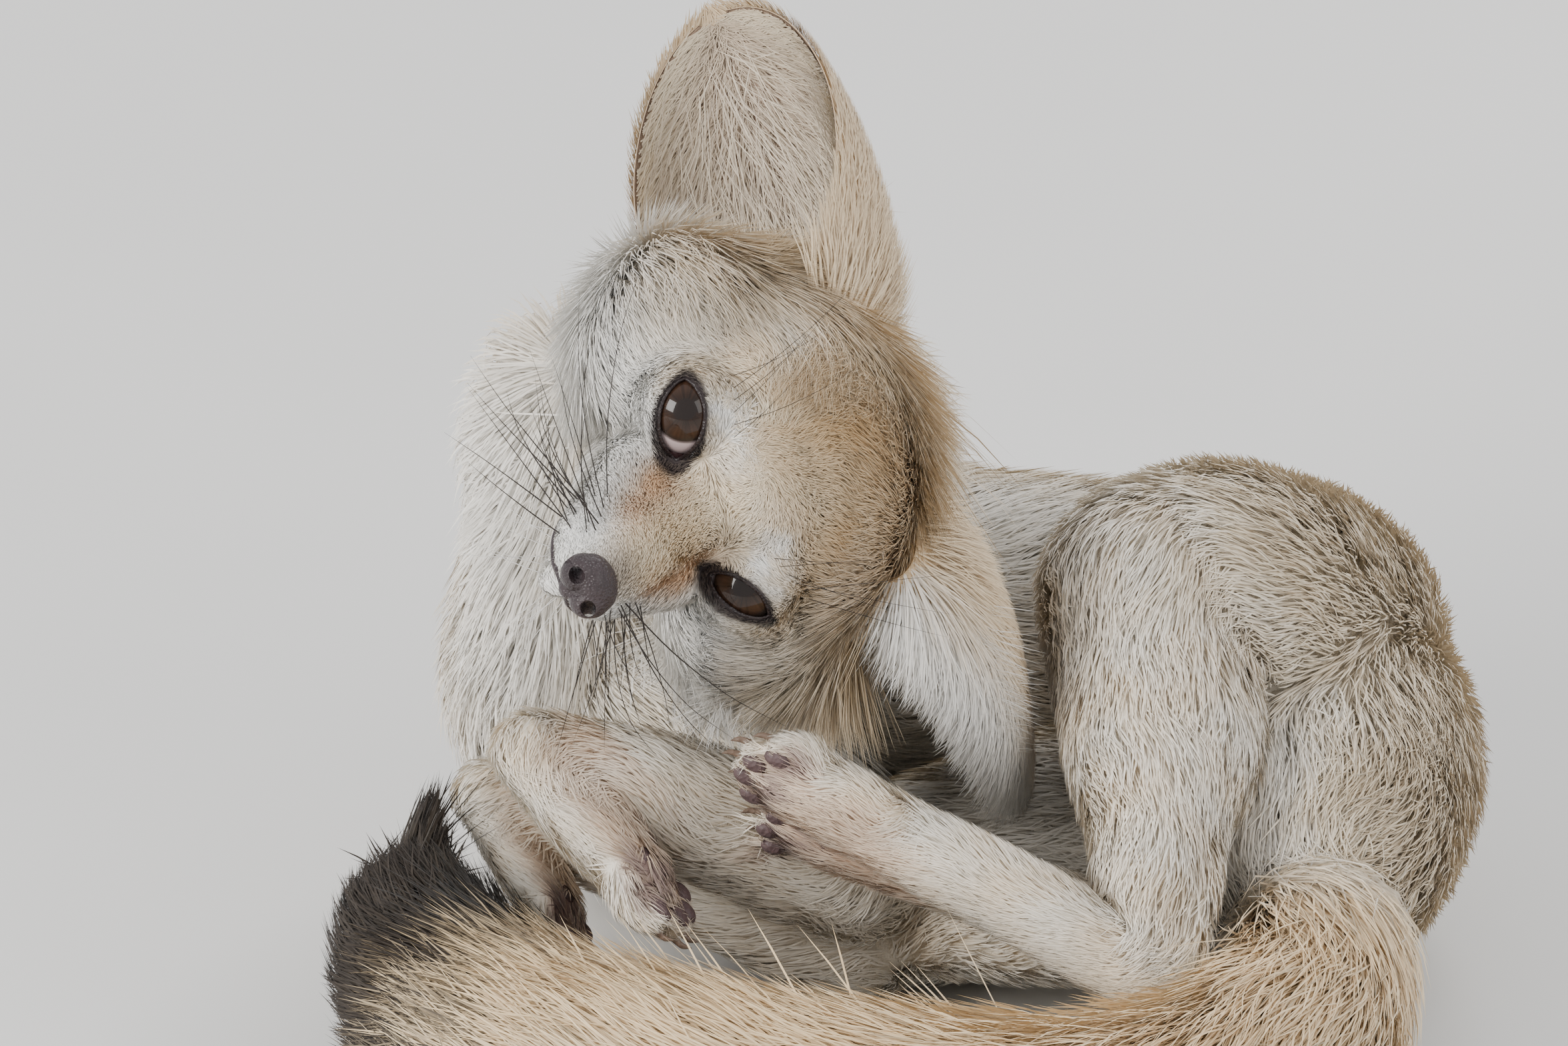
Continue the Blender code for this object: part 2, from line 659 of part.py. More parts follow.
def leg_pair(home, cutters, torso):
    """All four legs, each in two or three nodes."""
    nodes = {}

    def limb(name, points, radii, triangles, parents, extra=()):
        nodes[name] = fuse(name, [sausage(points, radii), *extra], home, 2.0, 4, triangles)
        seat(nodes[name], parents, cutters)

    def foot(name, wrist, toes, palm, width, thick, triangles, parent, lead=()):
        forms = foot_forms(wrist, toes, palm, width, thick) + list(lead)
        nodes[name] = fuse(name, forms, home, 1.2, 3, triangles)
        seat(nodes[name], parent, cutters)

    limb("thigh_right", [HIP_R, HIP_R.lerp(KNEE_R, 0.5), KNEE_R], (25, 25, 21), 180, [torso])
    limb("shank_right", [KNEE_R, KNEE_R.lerp(HOCK_R, 0.5), HOCK_R], (18, 14, 9), 150,
         [nodes["thigh_right"], torso])
    limb("upper_arm_right", [SHOULDER_R, SHOULDER_R.lerp(ELBOW_R, 0.5), ELBOW_R], (19, 16, 13), 140,
         [torso, nodes["thigh_right"], nodes["shank_right"]])
    limb("forearm_right", [ELBOW_R, ELBOW_R.lerp(WRIST_R, 0.5), WRIST_R], (12.5, 11, 9), 160,
         [nodes["upper_arm_right"], torso, nodes["thigh_right"], nodes["shank_right"]])
    foot("forepaw_right", WRIST_R, PAW_R, Vector((0.8, 0.0, 0.3)), 21, 14, 340,
         [nodes["forearm_right"]])
    under = [torso] + list(nodes.values())

    limb("upper_arm_left", [SHOULDER_L, SHOULDER_L.lerp(ELBOW_L, 0.5), ELBOW_L], (26, 23, 18), 180,
         under)
    limb("forearm_left", [ELBOW_L, ELBOW_L.lerp(WRIST_L, 0.5), WRIST_L], (16.5, 14.5, 9.5), 200,
         [nodes["upper_arm_left"]] + under)
    foot("forepaw_left", WRIST_L, PAW_L, Vector((0.8, -0.1, 0.3)), 23, 16, 400,
         [nodes["forearm_left"]] + under)

    limb("thigh_left", [HIP_L, HIP_L.lerp(KNEE_L, 0.5) + Vector((2, -4, 4)), KNEE_L], (37, 33, 25),
         260, [torso])
    calf = KNEE_L.lerp(HOCK_L, 0.36) + Vector((3, 4, -2))
    lower_calf = KNEE_L.lerp(HOCK_L, 0.72) + Vector((0, 1, 1))
    heel_l = HOCK_L + (HOCK_L - TOES_L).normalized() * 4 + Vector((0, 0, -3))
    limb("shank_left", [KNEE_L, calf, lower_calf, HOCK_L], (22.5, 21.5, 13, 8.5), 250,
         [nodes["thigh_left"], nodes["shank_right"], torso],
         [sausage([lower_calf + Vector((9, 6, 0)), HOCK_L + Vector((9, 2, 4)), heel_l],
                  (8, 4.5, 6.5))])
    sole_l = Vector((-0.35, -0.75, -0.55))
    pastern_l = HOCK_L.lerp(TOES_L, 0.52)
    foot("hindfoot_left", pastern_l, TOES_L, sole_l, 26, 16, 480,
         [nodes["shank_left"], nodes["forearm_left"]],
         [sausage([heel_l, HOCK_L.lerp(TOES_L, 0.25), pastern_l], (8, 9, 9))])
    sole_r = Vector((-0.35, -0.8, -0.5))
    pastern_r = HOCK_R.lerp(TOES_R, 0.52)
    foot("hindfoot_right", pastern_r, TOES_R, sole_r, 24, 15, 380,
         [nodes["shank_right"], nodes["hindfoot_left"], nodes["shank_left"], nodes["forearm_left"],
          nodes["upper_arm_left"]],
         [sausage([HOCK_R, HOCK_R.lerp(TOES_R, 0.25), pastern_r], (8, 8.5, 8.5))])
    return nodes


# Body

def body_forms():
    """Trunk and neck as they lie, outside the coat."""
    ribs = TRUNK_R
    return [
        sausage([RUMP, PELVIS, LOIN, WAIST, RIBS, BREAST],
                (ribs - 8, ribs, ribs - 2, ribs - 3, ribs + 1, ribs - 2)),
        sausage([BREAST, WITHERS, NECK, on_head(0, -48, -6)], (38, 36, 33, 28)),
        egg(Vector((-40, 10, 60)), (25, 24, 30)),
        egg(Vector((-39, 0, 90)), (16, 15, 26)),
        egg(Vector((9, 8, 108)), (21, 18, 25)),
        egg(Vector((-36, 6, 123)), (18, 16, 21)),
    ]


def part_off(whole, name, at, along, cutters, home, half=75.0):
    """Cuts a body in two with a thin slab and returns the piece on the side that along points to."""
    bm = bmesh.new()
    bmesh.ops.create_cube(bm, size=1.0)
    turn = along.to_track_quat('Z', 'Y').to_matrix().to_4x4()
    size = Matrix.Diagonal((2 * half * MM, 2 * half * MM, GAP, 1.0))
    bmesh.ops.transform(bm, matrix=Matrix.Translation(at * MM) @ turn @ size, verts=bm.verts)
    slab = object_of(name + "_slab", bm, cutters)
    slab.hide_render = True
    boolean(whole, slab, 'DIFFERENCE')
    bm = bmesh.new()
    bm.from_mesh(whole.data)
    taken = bm.copy()
    for part, front in ((bm, False), (taken, True)):
        part.verts.ensure_lookup_table()
        seed = min(part.verts, key=lambda v: (v.co - at * MM).length
                   if ((v.co - at * MM).dot(along) > 0) == front else 1e9)
        shell, reach = set(), [seed]
        while reach:
            vert = reach.pop()
            if vert not in shell:
                shell.add(vert)
                reach.extend(edge.other_vert(vert) for edge in vert.link_edges)
        bmesh.ops.delete(part, geom=[v for v in part.verts if v not in shell], context='VERTS')
    bm.to_mesh(whole.data)
    bm.free()
    return object_of(name, taken, home)


def level_floor(nodes, cutters):
    """Flattens what reaches the floor at Z = 0."""
    bm = bmesh.new()
    bmesh.ops.create_cube(bm, size=FLOOR_BOX)
    bmesh.ops.translate(bm, vec=(0, 0, -FLOOR_BOX / 2), verts=bm.verts)
    ground = object_of("ground", bm, cutters)
    for obj in nodes:
        if min(v.co.z for v in obj.data.vertices) < 0:
            boolean(obj, ground, 'DIFFERENCE')
            keep_largest(obj)


def stand_on_origin(nodes):
    """Moves everything so that the box round it stands on the origin, centred."""
    corners = [v.co for obj in nodes for v in obj.data.vertices]
    low = Vector([min(c[k] for c in corners) for k in range(3)])
    high = Vector([max(c[k] for c in corners) for k in range(3)])
    shift = Matrix.Translation(-Vector(((low.x + high.x) / 2, (low.y + high.y) / 2, low.z)))
    for obj in nodes:
        obj.data.transform(shift)


def build():
    clear_scene()
    fox = collection("fennec_fox")
    cutters = collection("cutters")
    cutters.hide_render = True
    rng = random.Random(11)

    head = fuse("head", head_forms(), fox, 1.3, 8, 1450)
    torso = fuse("torso", body_forms(), fox, 3.0, 8, 820)
    neck = part_off(torso, "neck", Vector((-18, 22, 88)), Vector((0.25, -0.35, 0.9)), cutters, fox)
    open_eyes(head, cutters)
    boolean(head, mouth_cutter(cutters), 'DIFFERENCE')
    keep_largest(head)
    legs = leg_pair(fox, cutters, torso)

    WHOLE["chest"] = torso.data.copy()
    join_locks(neck, ruff_locks(neck, [head] + list(legs.values()), rng))
    seat(neck, [head] + list(legs.values()), cutters)
    boolean(neck, grown(torso, CLEARANCE, cutters, "chest"), 'DIFFERENCE')
    keep_largest(neck)

    for name, side in (("left", LEFT), ("right", RIGHT)):
        eye = ball_object("eye_" + name, eye_at(side), EYE_RADIUS, fox, segments=12)
        paint(eye, "eye", (0.03, 0.015, 0.01), 0.1)
        pinna = ear("ear_" + name, side, fox)
        seat(pinna, [head], cutters)
    round_ear = [legs[name] for name in ("hindfoot_left", "shank_left", "thigh_left", "thigh_right")]
    boolean(bpy.data.objects["ear_left"], envelope(round_ear, 3 * CLEARANCE, cutters), 'DIFFERENCE')
    keep_largest(bpy.data.objects["ear_left"])
    seat(legs["hindfoot_left"], [head], cutters)
    for pinna in (bpy.data.objects["ear_left"], bpy.data.objects["ear_right"]):
        boolean(neck, envelope([pinna], 3 * CLEARANCE, cutters), 'DIFFERENCE')
        keep_largest(neck)

    nose = fuse("nose", [head_egg(0, 39.5, -13.0, (6.6, 4.8, 5.8)),
                         head_egg(0, 37.0, -16.5, (3.6, 3.4, 3.4))], fox, 0.6, 3, 220)
    seat(head, [nose], cutters)
    nostrils(nose, cutters)

    lengths = tail_lengths(Brush(), rng, cutters, fox)
    for length in lengths:
        seat(length, [torso] + list(legs.values()), cutters)
    level_floor(list(fox.objects), cutters)
    for obj in fox.objects:
        if not obj.data.materials:
            paint(obj, "coat", (0.8, 0.68, 0.5), 0.9)
    paint(nose, "nose", (0.1, 0.07, 0.07), 0.4)
    paint(lengths[-1], "brush_tip", (0.06, 0.045, 0.04), 0.9)
    for obj in list(cutters.objects):
        bpy.data.objects.remove(obj)
    stand_on_origin(list(fox.objects))


build()
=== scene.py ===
"""The looks of a life-size fennec fox: one skin, its coat in tufts, eyes, nose, pads and whiskers.

Lengths are in millimetres, in the axes of the solids before they were centred on the origin.
The coat is made of thin bent blades. Each starts on the skin, follows the lie of the fur and ends
in a point, and neighbours lean together into clumps.
"""
import math

import bpy
import numpy as np
from mathutils import Matrix, Vector
from mathutils.bvhtree import BVHTree
from mathutils.kdtree import KDTree


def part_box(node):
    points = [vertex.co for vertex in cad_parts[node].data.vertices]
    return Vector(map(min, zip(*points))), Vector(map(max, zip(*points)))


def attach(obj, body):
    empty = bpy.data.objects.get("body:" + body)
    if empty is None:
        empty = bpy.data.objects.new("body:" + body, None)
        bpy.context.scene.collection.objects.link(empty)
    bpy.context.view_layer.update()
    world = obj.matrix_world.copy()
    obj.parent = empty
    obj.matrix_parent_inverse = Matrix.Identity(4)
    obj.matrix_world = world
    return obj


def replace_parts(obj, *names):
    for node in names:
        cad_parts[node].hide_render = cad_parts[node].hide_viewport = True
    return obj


MM = 0.001
SKIN_VOXEL = 1.2    # how finely the skin is made
RNG = np.random.default_rng(7)

# The head's place and bearing, and the eyes.
EYES_AT = Vector((-14.4, -62.0, 132.4))
HEAD_FORWARD = Vector((-0.306, -0.950, 0.064))
HEAD_UP = Vector((0.903, -0.267, 0.341))
EYE_SPREAD = 38.0
EYE_RADIUS = 8.8
RIGHT, LEFT = 1, -1
EYES_CENTRED = Vector((-13.482, -59.15, 132.208))    # the middle of both eyeballs
GAZE = Vector((0.250, 0.888, 0.386))    # where both eyes look, in the head's axes
LID = 1.0          # how thick the lids are
LID_REACH = 8.0    # how far round the opening the lids are shaped

# Places on the body.
RUMP = Vector((106, -20, 40))
PELVIS = Vector((104, 14, 41))
LOIN = Vector((90, 46, 41))
WAIST = Vector((54, 60, 40))
RIBS = Vector((10, 58, 41))
BREAST = Vector((-26, 36, 43))
WITHERS = Vector((-24, 30, 72))
NECK = Vector((-10, 14, 100))
CURL_CENTRE = Vector((38, -30, 41))    # what the trunk is curled round

HIP_L, KNEE_L = Vector((104, 30, 56)), Vector((74, -10, 88))
HOCK_L, TOES_L = Vector((73, -88, 42)), Vector((-10, -74, 84))
HIP_R, KNEE_R = Vector((88, 16, 26)), Vector((16, -18, 23))
HOCK_R, TOES_R = Vector((76, -62, 34)), Vector((-6, -64, 66))
SHOULDER_L, ELBOW_L = Vector((-34, 8, 66)), Vector((14, -36, 38))
WRIST_L, PAW_L = Vector((-51, -60, 77)), Vector((-19, -77, 43))
SHOULDER_R, ELBOW_R = Vector((-36, 16, 28)), Vector((14, -30, 16))
WRIST_R, PAW_R = Vector((-60, -38, 56)), Vector((-40, -54, 24))
SOLE_HIND_L = Vector((-0.35, -0.75, -0.55))
SOLE_HIND_R = Vector((-0.35, -0.8, -0.5))
PALM_L = Vector((0.8, -0.1, 0.3))
PALM_R = Vector((0.8, 0.0, 0.3))
PASTERN_L, PASTERN_R = HOCK_L.lerp(TOES_L, 0.52), HOCK_R.lerp(TOES_R, 0.52)
TOES = ((-0.38, 0.93), (-0.135, 1.0), (0.135, 1.0), (0.38, 0.93))    # how far across and along

TAIL = [Vector(p) for p in ((104, -22, 40), (108, -66, 32), (92, -112, 29), (52, -134, 28),
                            (4, -130, 28), (-40, -110, 28), (-66, -84, 31), (-75, -64, 41))]
TAIL_R = (20, 24, 28, 29.5, 30.5, 29.5, 24, 14)
TAIL_CORE = 0.46    # the flesh's share of the tail's width

# Colours, linear.
WHITE = (0.86, 0.85, 0.82)
CREAM = (0.80, 0.70, 0.53)
BUFF = (0.66, 0.50, 0.31)
SAND = (0.58, 0.43, 0.26)
TAN = (0.60, 0.35, 0.17)
GOLD = (0.78, 0.57, 0.31)
GREY = (0.30, 0.25, 0.20)
UMBER = (0.12, 0.075, 0.045)
BLACK = (0.020, 0.014, 0.011)
LID_DARK = (0.024, 0.015, 0.016)
MAUVE = (0.20, 0.125, 0.125)
PEACH = (0.70, 0.49, 0.34)
# The ears' inner skin: greyish brown, with painted shade darkening its own tone
EAR_SKIN_SHADED = (0.33, 0.235, 0.17)


# Shapes

def axes(forward, up):
    y = forward.normalized()
    x = y.cross(up).normalized()
    return Matrix((x, y, x.cross(y))).transposed()


HEAD_TURN = axes(HEAD_FORWARD, HEAD_UP)


def on_head(x, y, z):
    return EYES_AT + HEAD_TURN @ Vector((x, y, z))


def eye_at(side):
    return on_head(side * EYE_SPREAD / 2, -3.0, 0)


class Foot:
    """A foot from its start to its toes, with the directions along it, across it and out of its back."""

    def __init__(self, start, toes, sole, width, thick):
        self.start, self.toes, self.sole, self.width, self.thick = start, toes, sole, width, thick
        self.length = (toes - start).length
        self.along = (toes - start).normalized()
        self.turn = axes(self.along, -sole)
        self.across, self.up = self.turn.col[0], self.turn.col[2]

    def tip(self, spread, reach):
        """Where a toe ends."""
        return (self.start + self.along * (self.length * reach - self.thick * 0.3)
                + self.across * self.width * spread)


FEET = (Foot(PASTERN_L, TOES_L, SOLE_HIND_L, 26, 16), Foot(PASTERN_R, TOES_R, SOLE_HIND_R, 24, 15),
        Foot(WRIST_L, PAW_L, PALM_L, 23, 16), Foot(WRIST_R, PAW_R, PALM_R, 21, 14))


def ease(share):
    share = np.clip(share, 0, 1)
    return share * share * (3 - 2 * share)


class Lids:
    """One eye's parted lids, in axes along the opening to its outer corner, out of it, and across."""

    def __init__(self, side, slant, middle, reach):
        out_of = GAZE.normalized()
        level = Vector((side, 0, 0))
        level = (level - out_of * level.dot(out_of)).normalized()
        rise = level.cross(out_of) * side
        turn = math.radians(slant)
        self.frame = np.array(HEAD_TURN @ Matrix((
            level * math.cos(turn) + rise * math.sin(turn), out_of,
            rise * math.cos(turn) - level * math.sin(turn))).transposed())
        self.at = np.array(eye_at(side))
        self.middle, self.reach = middle, reach

    def local(self, spots):
        return (spots - self.at) @ self.frame

    def world(self, local):
        return local @ self.frame.T + self.at

    def edge(self, angle):
        """How far the margin is from the middle of the opening, in each direction."""
        inner, outer, upper, lower = self.reach
        c, s = np.cos(angle), np.sin(angle)
        wide = np.where(c < 0, inner, outer)
        tall = np.where(s < 0, lower, upper)
        low, high = np.zeros_like(c), np.full_like(c, 12.0)
        for _ in range(20):
            trial = (low + high) / 2
            beyond = np.abs(trial * c / wide) ** 2.2 + np.abs(trial * s / tall) ** 1.3 > 1
            low = np.where(beyond, low, trial)
            high = np.where(beyond, trial, high)
        return low

    def off_middle(self, far, angle):
        return self.middle[0] + far * np.cos(angle), self.middle[1] + far * np.sin(angle)

    def gap(self, local):
        """How far beyond the margin each spot lies, and in which direction."""
        x, z = local[:, 0] - self.middle[0], local[:, 2] - self.middle[1]
        angle = np.arctan2(z, x)
        return np.hypot(x, z) - self.edge(angle), angle

    def dark(self, angle):
        """How wide the dark skin is round the opening: widest at the inner corner."""
        c, s = np.cos(angle), np.sin(angle)
        return (0.7 + 0.8 * np.clip(-s, 0, 1) + 1.0 * np.clip(c, 0, 1) ** 6
                + 2.4 * np.clip(-c, 0, 1) ** 3)

    def near(self, local):
        """Which spots of the skin lie in front of the eyeball's back and round the opening."""
        return (local[:, 1] > -14) & (np.hypot(local[:, 0], local[:, 2]) < 26)

    def height(self, x, z, gap, angle, skin):
        """The lids' level over the ball, eased into the skin's further out, with a fold above."""
        dome = np.sqrt(np.clip((EYE_RADIUS + LID) ** 2 - x * x - z * z, 0, None))
        level = np.logaddexp(dome, 2.0)
        fold = 0.4 * np.exp(-((gap - 2.8) / 0.7) ** 2) * np.clip(np.sin(angle), 0, 1)
        share = ease(gap / LID_REACH)
        return level * (1 - share) + skin * share - fold


# How each opening slants, its middle from the eyeball's, and how far it goes in, out, up and down.
LIDS = {RIGHT: Lids(RIGHT, 25, (-2.0, -0.9), (7.9, 7.9, 4.6, 4.0)),
        LEFT: Lids(LEFT, 36, (0.1, -2.1), (6.9, 6.9, 2.7, 2.9))}


def lid_gap(spots):
    """How far each spot is beyond the nearer eye's margin, and how dark the skin is there."""
    gap = np.full(len(spots), 99.0)
    dark = np.zeros(len(spots))
    for lids in LIDS.values():
        local = lids.local(spots)
        near = lids.near(local)
        away, angle = lids.gap(local[near])
        gap[near] = np.minimum(gap[near], away)
        dark[near] = np.maximum(dark[near], np.clip(1 - (away - lids.dark(angle)) / 0.9, 0, 1))
    return gap, dark


def smooth_path(points, radii, steps):
    """Catmull-Rom through the points, with the radii eased along it."""
    spots, sizes = [], []
    count = len(points)
    for i in range(count - 1):
        a, b, c, d = (points[min(max(i + k, 0), count - 1)] for k in (-1, 0, 1, 2))
        for step in range(steps):
            t = step / steps
            spots.append(0.5 * ((2 * b) + (c - a) * t + (2 * a - 5 * b + 4 * c - d) * t ** 2
                                + (3 * b - a - 3 * c + d) * t ** 3))
            share = t * t * (3 - 2 * t)
            sizes.append(radii[i] * (1 - share) + radii[i + 1] * share)
    return spots + [points[-1]], sizes + [radii[-1]]


def unit_ball(around=32, rings=18):
    """Corners and faces of a ball of radius 1."""
    corners = [(0, 0, 1)]
    for i in range(1, rings):
        low = math.pi * i / rings
        corners += [(math.sin(low) * math.cos(turn), math.sin(low) * math.sin(turn), math.cos(low))
                    for turn in (2 * math.pi * k / around for k in range(around))]
    corners.append((0, 0, -1))
    faces = [(0, 1 + k, 1 + (k + 1) % around) for k in range(around)]
    for i in range(rings - 2):
        for k in range(around):
            a, b = 1 + i * around + k, 1 + i * around + (k + 1) % around
            faces += [(a, a + around, b + around), (a, b + around, b)]
    last = len(corners) - 1
    faces += [(last, last - around + (k + 1) % around, last - around + k) for k in range(around)]
    return np.array(corners), np.array(faces)


def unit_drum(around=24):
    """Corners and faces of a drum of radius 1 from Z = 0 to 1."""
    turns = 2 * math.pi * np.arange(around) / around
    ring = np.stack([np.cos(turns), np.sin(turns), np.zeros(around)], 1)
    corners = np.concatenate([ring, ring + (0, 0, 1), [(0, 0, 0), (0, 0, 1)]])
    faces = []
    for k in range(around):
        b = (k + 1) % around
        faces += [(k, b, b + around), (k, b + around, k + around)]
        faces += [(b, k, 2 * around), (k + around, b + around, 2 * around + 1)]
    return corners, np.array(faces)


BALL = unit_ball()
DRUM = unit_drum()


class Ball:
    """An ellipsoid."""

    def __init__(self, at, radii, turn=Matrix.Identity(3)):
        self.at, self.radii, self.turn = at, Vector(radii), turn

    def shapes(self, inset):
        corners = BALL[0] * np.array(self.radii - Vector((inset,) * 3))
        return [(corners @ np.array(self.turn).T + np.array(self.at), BALL[1])]

    def reach(self, spots):
        """Each spot's distance from the surface, and no heading."""
        q = (spots - np.array(self.at)) @ np.array(self.turn)
        k = np.linalg.norm(q / np.array(self.radii), axis=1)
        far = np.linalg.norm(q, axis=1) * (1 - 1 / np.maximum(k, 1e-6))
        return far, np.zeros_like(spots)


class Limb:
    """Balls and cones along a smooth path."""

    def __init__(self, points, radii, steps=6):
        self.spots, self.sizes = smooth_path(list(points), list(radii), steps)

    def shapes(self, inset):
        found = []
        sizes = [max(size - inset, 1.2) for size in self.sizes]
        for a, b, ra, rb in zip(self.spots, self.spots[1:], sizes, sizes[1:]):
            turn = np.array((b - a).to_track_quat('Z', 'Y').to_matrix())
            wide = np.where(DRUM[0][:, 2:] > 0.5, rb, ra)
            corners = DRUM[0] * np.concatenate([wide, wide, np.full_like(wide, (b - a).length)], 1)
            found.append((corners @ turn.T + np.array(a), DRUM[1]))
        for spot, size in zip(self.spots, sizes):
            found += Ball(spot, (size,) * 3).shapes(0)
        return found

    def reach(self, spots):
        """Each spot's distance from the surface, and the limb's heading there."""
        best = np.full(len(spots), 1e9)
        heading = np.zeros_like(spots)
        for a, b, ra, rb in zip(self.spots, self.spots[1:], self.sizes, self.sizes[1:]):
            start, along = np.array(a), np.array(b - a)
            t = np.clip((spots - start) @ along / (along @ along), 0, 1)
            off = spots - start - t[:, None] * along
            far = np.linalg.norm(off, axis=1) - (ra + (rb - ra) * t)
            near = far < best
            best[near] = far[near]
            heading[near] = along / np.linalg.norm(along)
        return best, heading


def head_ball(x, y, z, radii):
    return Ball(on_head(x, y, z), radii, HEAD_TURN)


def head_limb(points, radii):
    return Limb([on_head(*p) for p in points], radii)


def head_forms():
    forms = [
        head_ball(0, -28, 2, (39, 32, 29)),
        head_ball(0, -12, 7, (23, 19, 17)),
        head_ball(0, -30, -7, (49, 25, 23)),
        head_ball(0, 2, -9, (17, 16, 13)),
        head_limb([(0, -4, -8), (0, 16, -11), (0, 35, -14)], (16, 11.8, 8.2)),
        head_limb([(0, -16, -20), (0, 14, -22), (0, 31, -23.5)], (15, 8.8, 5.6)),
    ]
    for side in (RIGHT, LEFT):
        forms += [
            head_ball(side * 25, -22, -8, (21, 19, 19)),
            head_limb([(side * 10, 2, -13), (side * 6.5, 24, -17), (side * 4, 33, -18)],
                      (10, 7.6, 5.4)),
            head_ball(side * 17, -3, 8, (9, 7, 7)),
            Ball(eye_at(side), (EYE_RADIUS + 3.0,) * 3),
        ]
    return forms


def foot_forms(foot):
    """The foot's flat body and its four toes."""
    start, along, length, width, thick = foot.start, foot.along, foot.length, foot.width, foot.thick
    middle = start + along * length * 0.42
    forms = [Ball(middle, (width * 0.46, length * 0.46, thick * 0.5), foot.turn),
             Limb([start, middle, start + along * length * 0.68],
                  (thick * 0.55, thick * 0.52, thick * 0.5))]
    for spread, reach in TOES:
        root = start + along * length * 0.62 + foot.across * width * spread * 0.8
        tip = foot.tip(spread, reach)
        knuckle = (root + tip) / 2 + foot.up * thick * 0.12
        forms.append(Limb([root, knuckle, tip], (thick * 0.3, thick * 0.32, thick * 0.27), 3))
    return forms


class Part:
    """A region of the body: its forms, and how its coat grows."""

    def __init__(self, name, forms, bare, length, rise, width, share, group):
        self.name, self.forms, self.bare = name, forms, bare
        self.length, self.rise, self.width, self.share, self.group = length, rise, width, share, group

    def reach(self, spots):
        best = np.full(len(spots), 1e9)
        heading = np.zeros_like(spots)
        for form in self.forms:
            far, way = form.reach(spots)
            near = far < best
            best[near] = far[near]
            useful = near & (np.abs(way).sum(1) > 0)
            heading[useful] = way[useful]
        return best, heading


def body_parts():
    """The numbers of each say how deep its skin lies, the length, rise and width of its hair, and
    how densely that grows. The last name is the group of coat pieces it belongs to."""
    calf = KNEE_L.lerp(HOCK_L, 0.36) + Vector((3, 4, -2))
    lower_calf = KNEE_L.lerp(HOCK_L, 0.72) + Vector((0, 1, 1))
    heel_l = HOCK_L + (HOCK_L - TOES_L).normalized() * 4 + Vector((0, 0, -3))
    hind_l, hind_r, fore_l, fore_r = (foot_forms(foot) for foot in FEET)
    core = [r * TAIL_CORE for r in TAIL_R]
    return [
        Part("head", head_forms(), 2.4, 7, 2.6, 0.34, 2.2, "head"),
        Part("neck", [
            Limb([on_head(0, -48, -6), NECK, WITHERS, BREAST], (28, 33, 36, 38)),
            Ball(Vector((-42, 9, 61)), (25, 24, 30)),
            Ball(Vector((-45, 0, 89)), (17, 15, 28)),
            Ball(Vector((9, 8, 108)), (21, 18, 25)),
            Ball(Vector((-43, 4, 117)), (19, 16, 26)),
        ], 3.0, 27, 11, 0.42, 1.1, "neck"),
        Part("trunk", [Limb([BREAST, RIBS, WAIST, LOIN, PELVIS, RUMP],
                            (41, 44, 40, 41, 43, 35))], 7, 18, 7.5, 0.42, 0.8, "trunk"),
        Part("thigh_left", [Limb([HIP_L, HIP_L.lerp(KNEE_L, 0.5) + Vector((2, -4, 4)), KNEE_L],
                                 (37, 33, 25))], 6, 16, 6.5, 0.42, 1.0, "legs"),
        Part("shank_left", [Limb([KNEE_L, calf, lower_calf, HOCK_L], (22.5, 21.5, 13, 8.5)),
                            Limb([lower_calf + Vector((9, 6, 0)), HOCK_L + Vector((9, 2, 4)), heel_l],
                                 (8, 4.5, 6.5))], 3, 11, 3.4, 0.38, 1.2, "legs"),
        Part("foot_left", hind_l + [Limb([heel_l, HOCK_L.lerp(TOES_L, 0.25), PASTERN_L], (8, 9, 9))],
             1.6, 7, 2.2, 0.32, 1.7, "feet"),
        Part("thigh_right", [Limb([HIP_R, HIP_R.lerp(KNEE_R, 0.5), KNEE_R], (25, 25, 21))],
             4, 12, 4.5, 0.42, 0.8, "legs"),
        Part("shank_right", [Limb([KNEE_R, KNEE_R.lerp(HOCK_R, 0.5), HOCK_R], (18, 14, 9))],
             3, 9, 3.2, 0.38, 1.0, "legs"),
        Part("foot_right", hind_r
             + [Limb([HOCK_R, HOCK_R.lerp(TOES_R, 0.25), PASTERN_R], (8, 8.5, 8.5))],
             1.6, 7, 2.2, 0.32, 1.5, "feet"),
        Part("arm_left", [Limb([SHOULDER_L, SHOULDER_L.lerp(ELBOW_L, 0.5), ELBOW_L], (26, 23, 18))],
             4, 14, 4.5, 0.42, 1.0, "legs"),
        Part("forearm_left", [Limb([ELBOW_L, ELBOW_L.lerp(WRIST_L, 0.5), WRIST_L],
                                   (16.5, 14.5, 9.5))], 2.6, 10, 3.0, 0.38, 1.3, "legs"),
        Part("paw_left", fore_l, 1.6, 7, 2.2, 0.32, 1.7, "feet"),
        Part("arm_right", [Limb([SHOULDER_R, SHOULDER_R.lerp(ELBOW_R, 0.5), ELBOW_R], (19, 16, 13))],
             3, 10, 3.4, 0.42, 0.7, "legs"),
        Part("forearm_right", [Limb([ELBOW_R, ELBOW_R.lerp(WRIST_R, 0.5), WRIST_R], (12.5, 11, 9))],
             2.4, 9, 2.8, 0.38, 1.0, "legs"),
        Part("paw_right", fore_r, 1.5, 6, 1.8, 0.32, 1.5, "feet"),
        Part("tail", [Limb(TAIL, core, 8)], 0.0, 40, 16, 0.46, 2.3, "tail"),
    ]


# Meshes

def shifted():
    """From this script's millimetres to the frame's metres."""
    low_l, high_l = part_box("eye_left")
    low_r, high_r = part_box("eye_right")
    middle = (low_l + high_l + low_r + high_r) / 4
    return Matrix.Translation(middle - EYES_CENTRED * MM) @ Matrix.Scale(MM, 4)


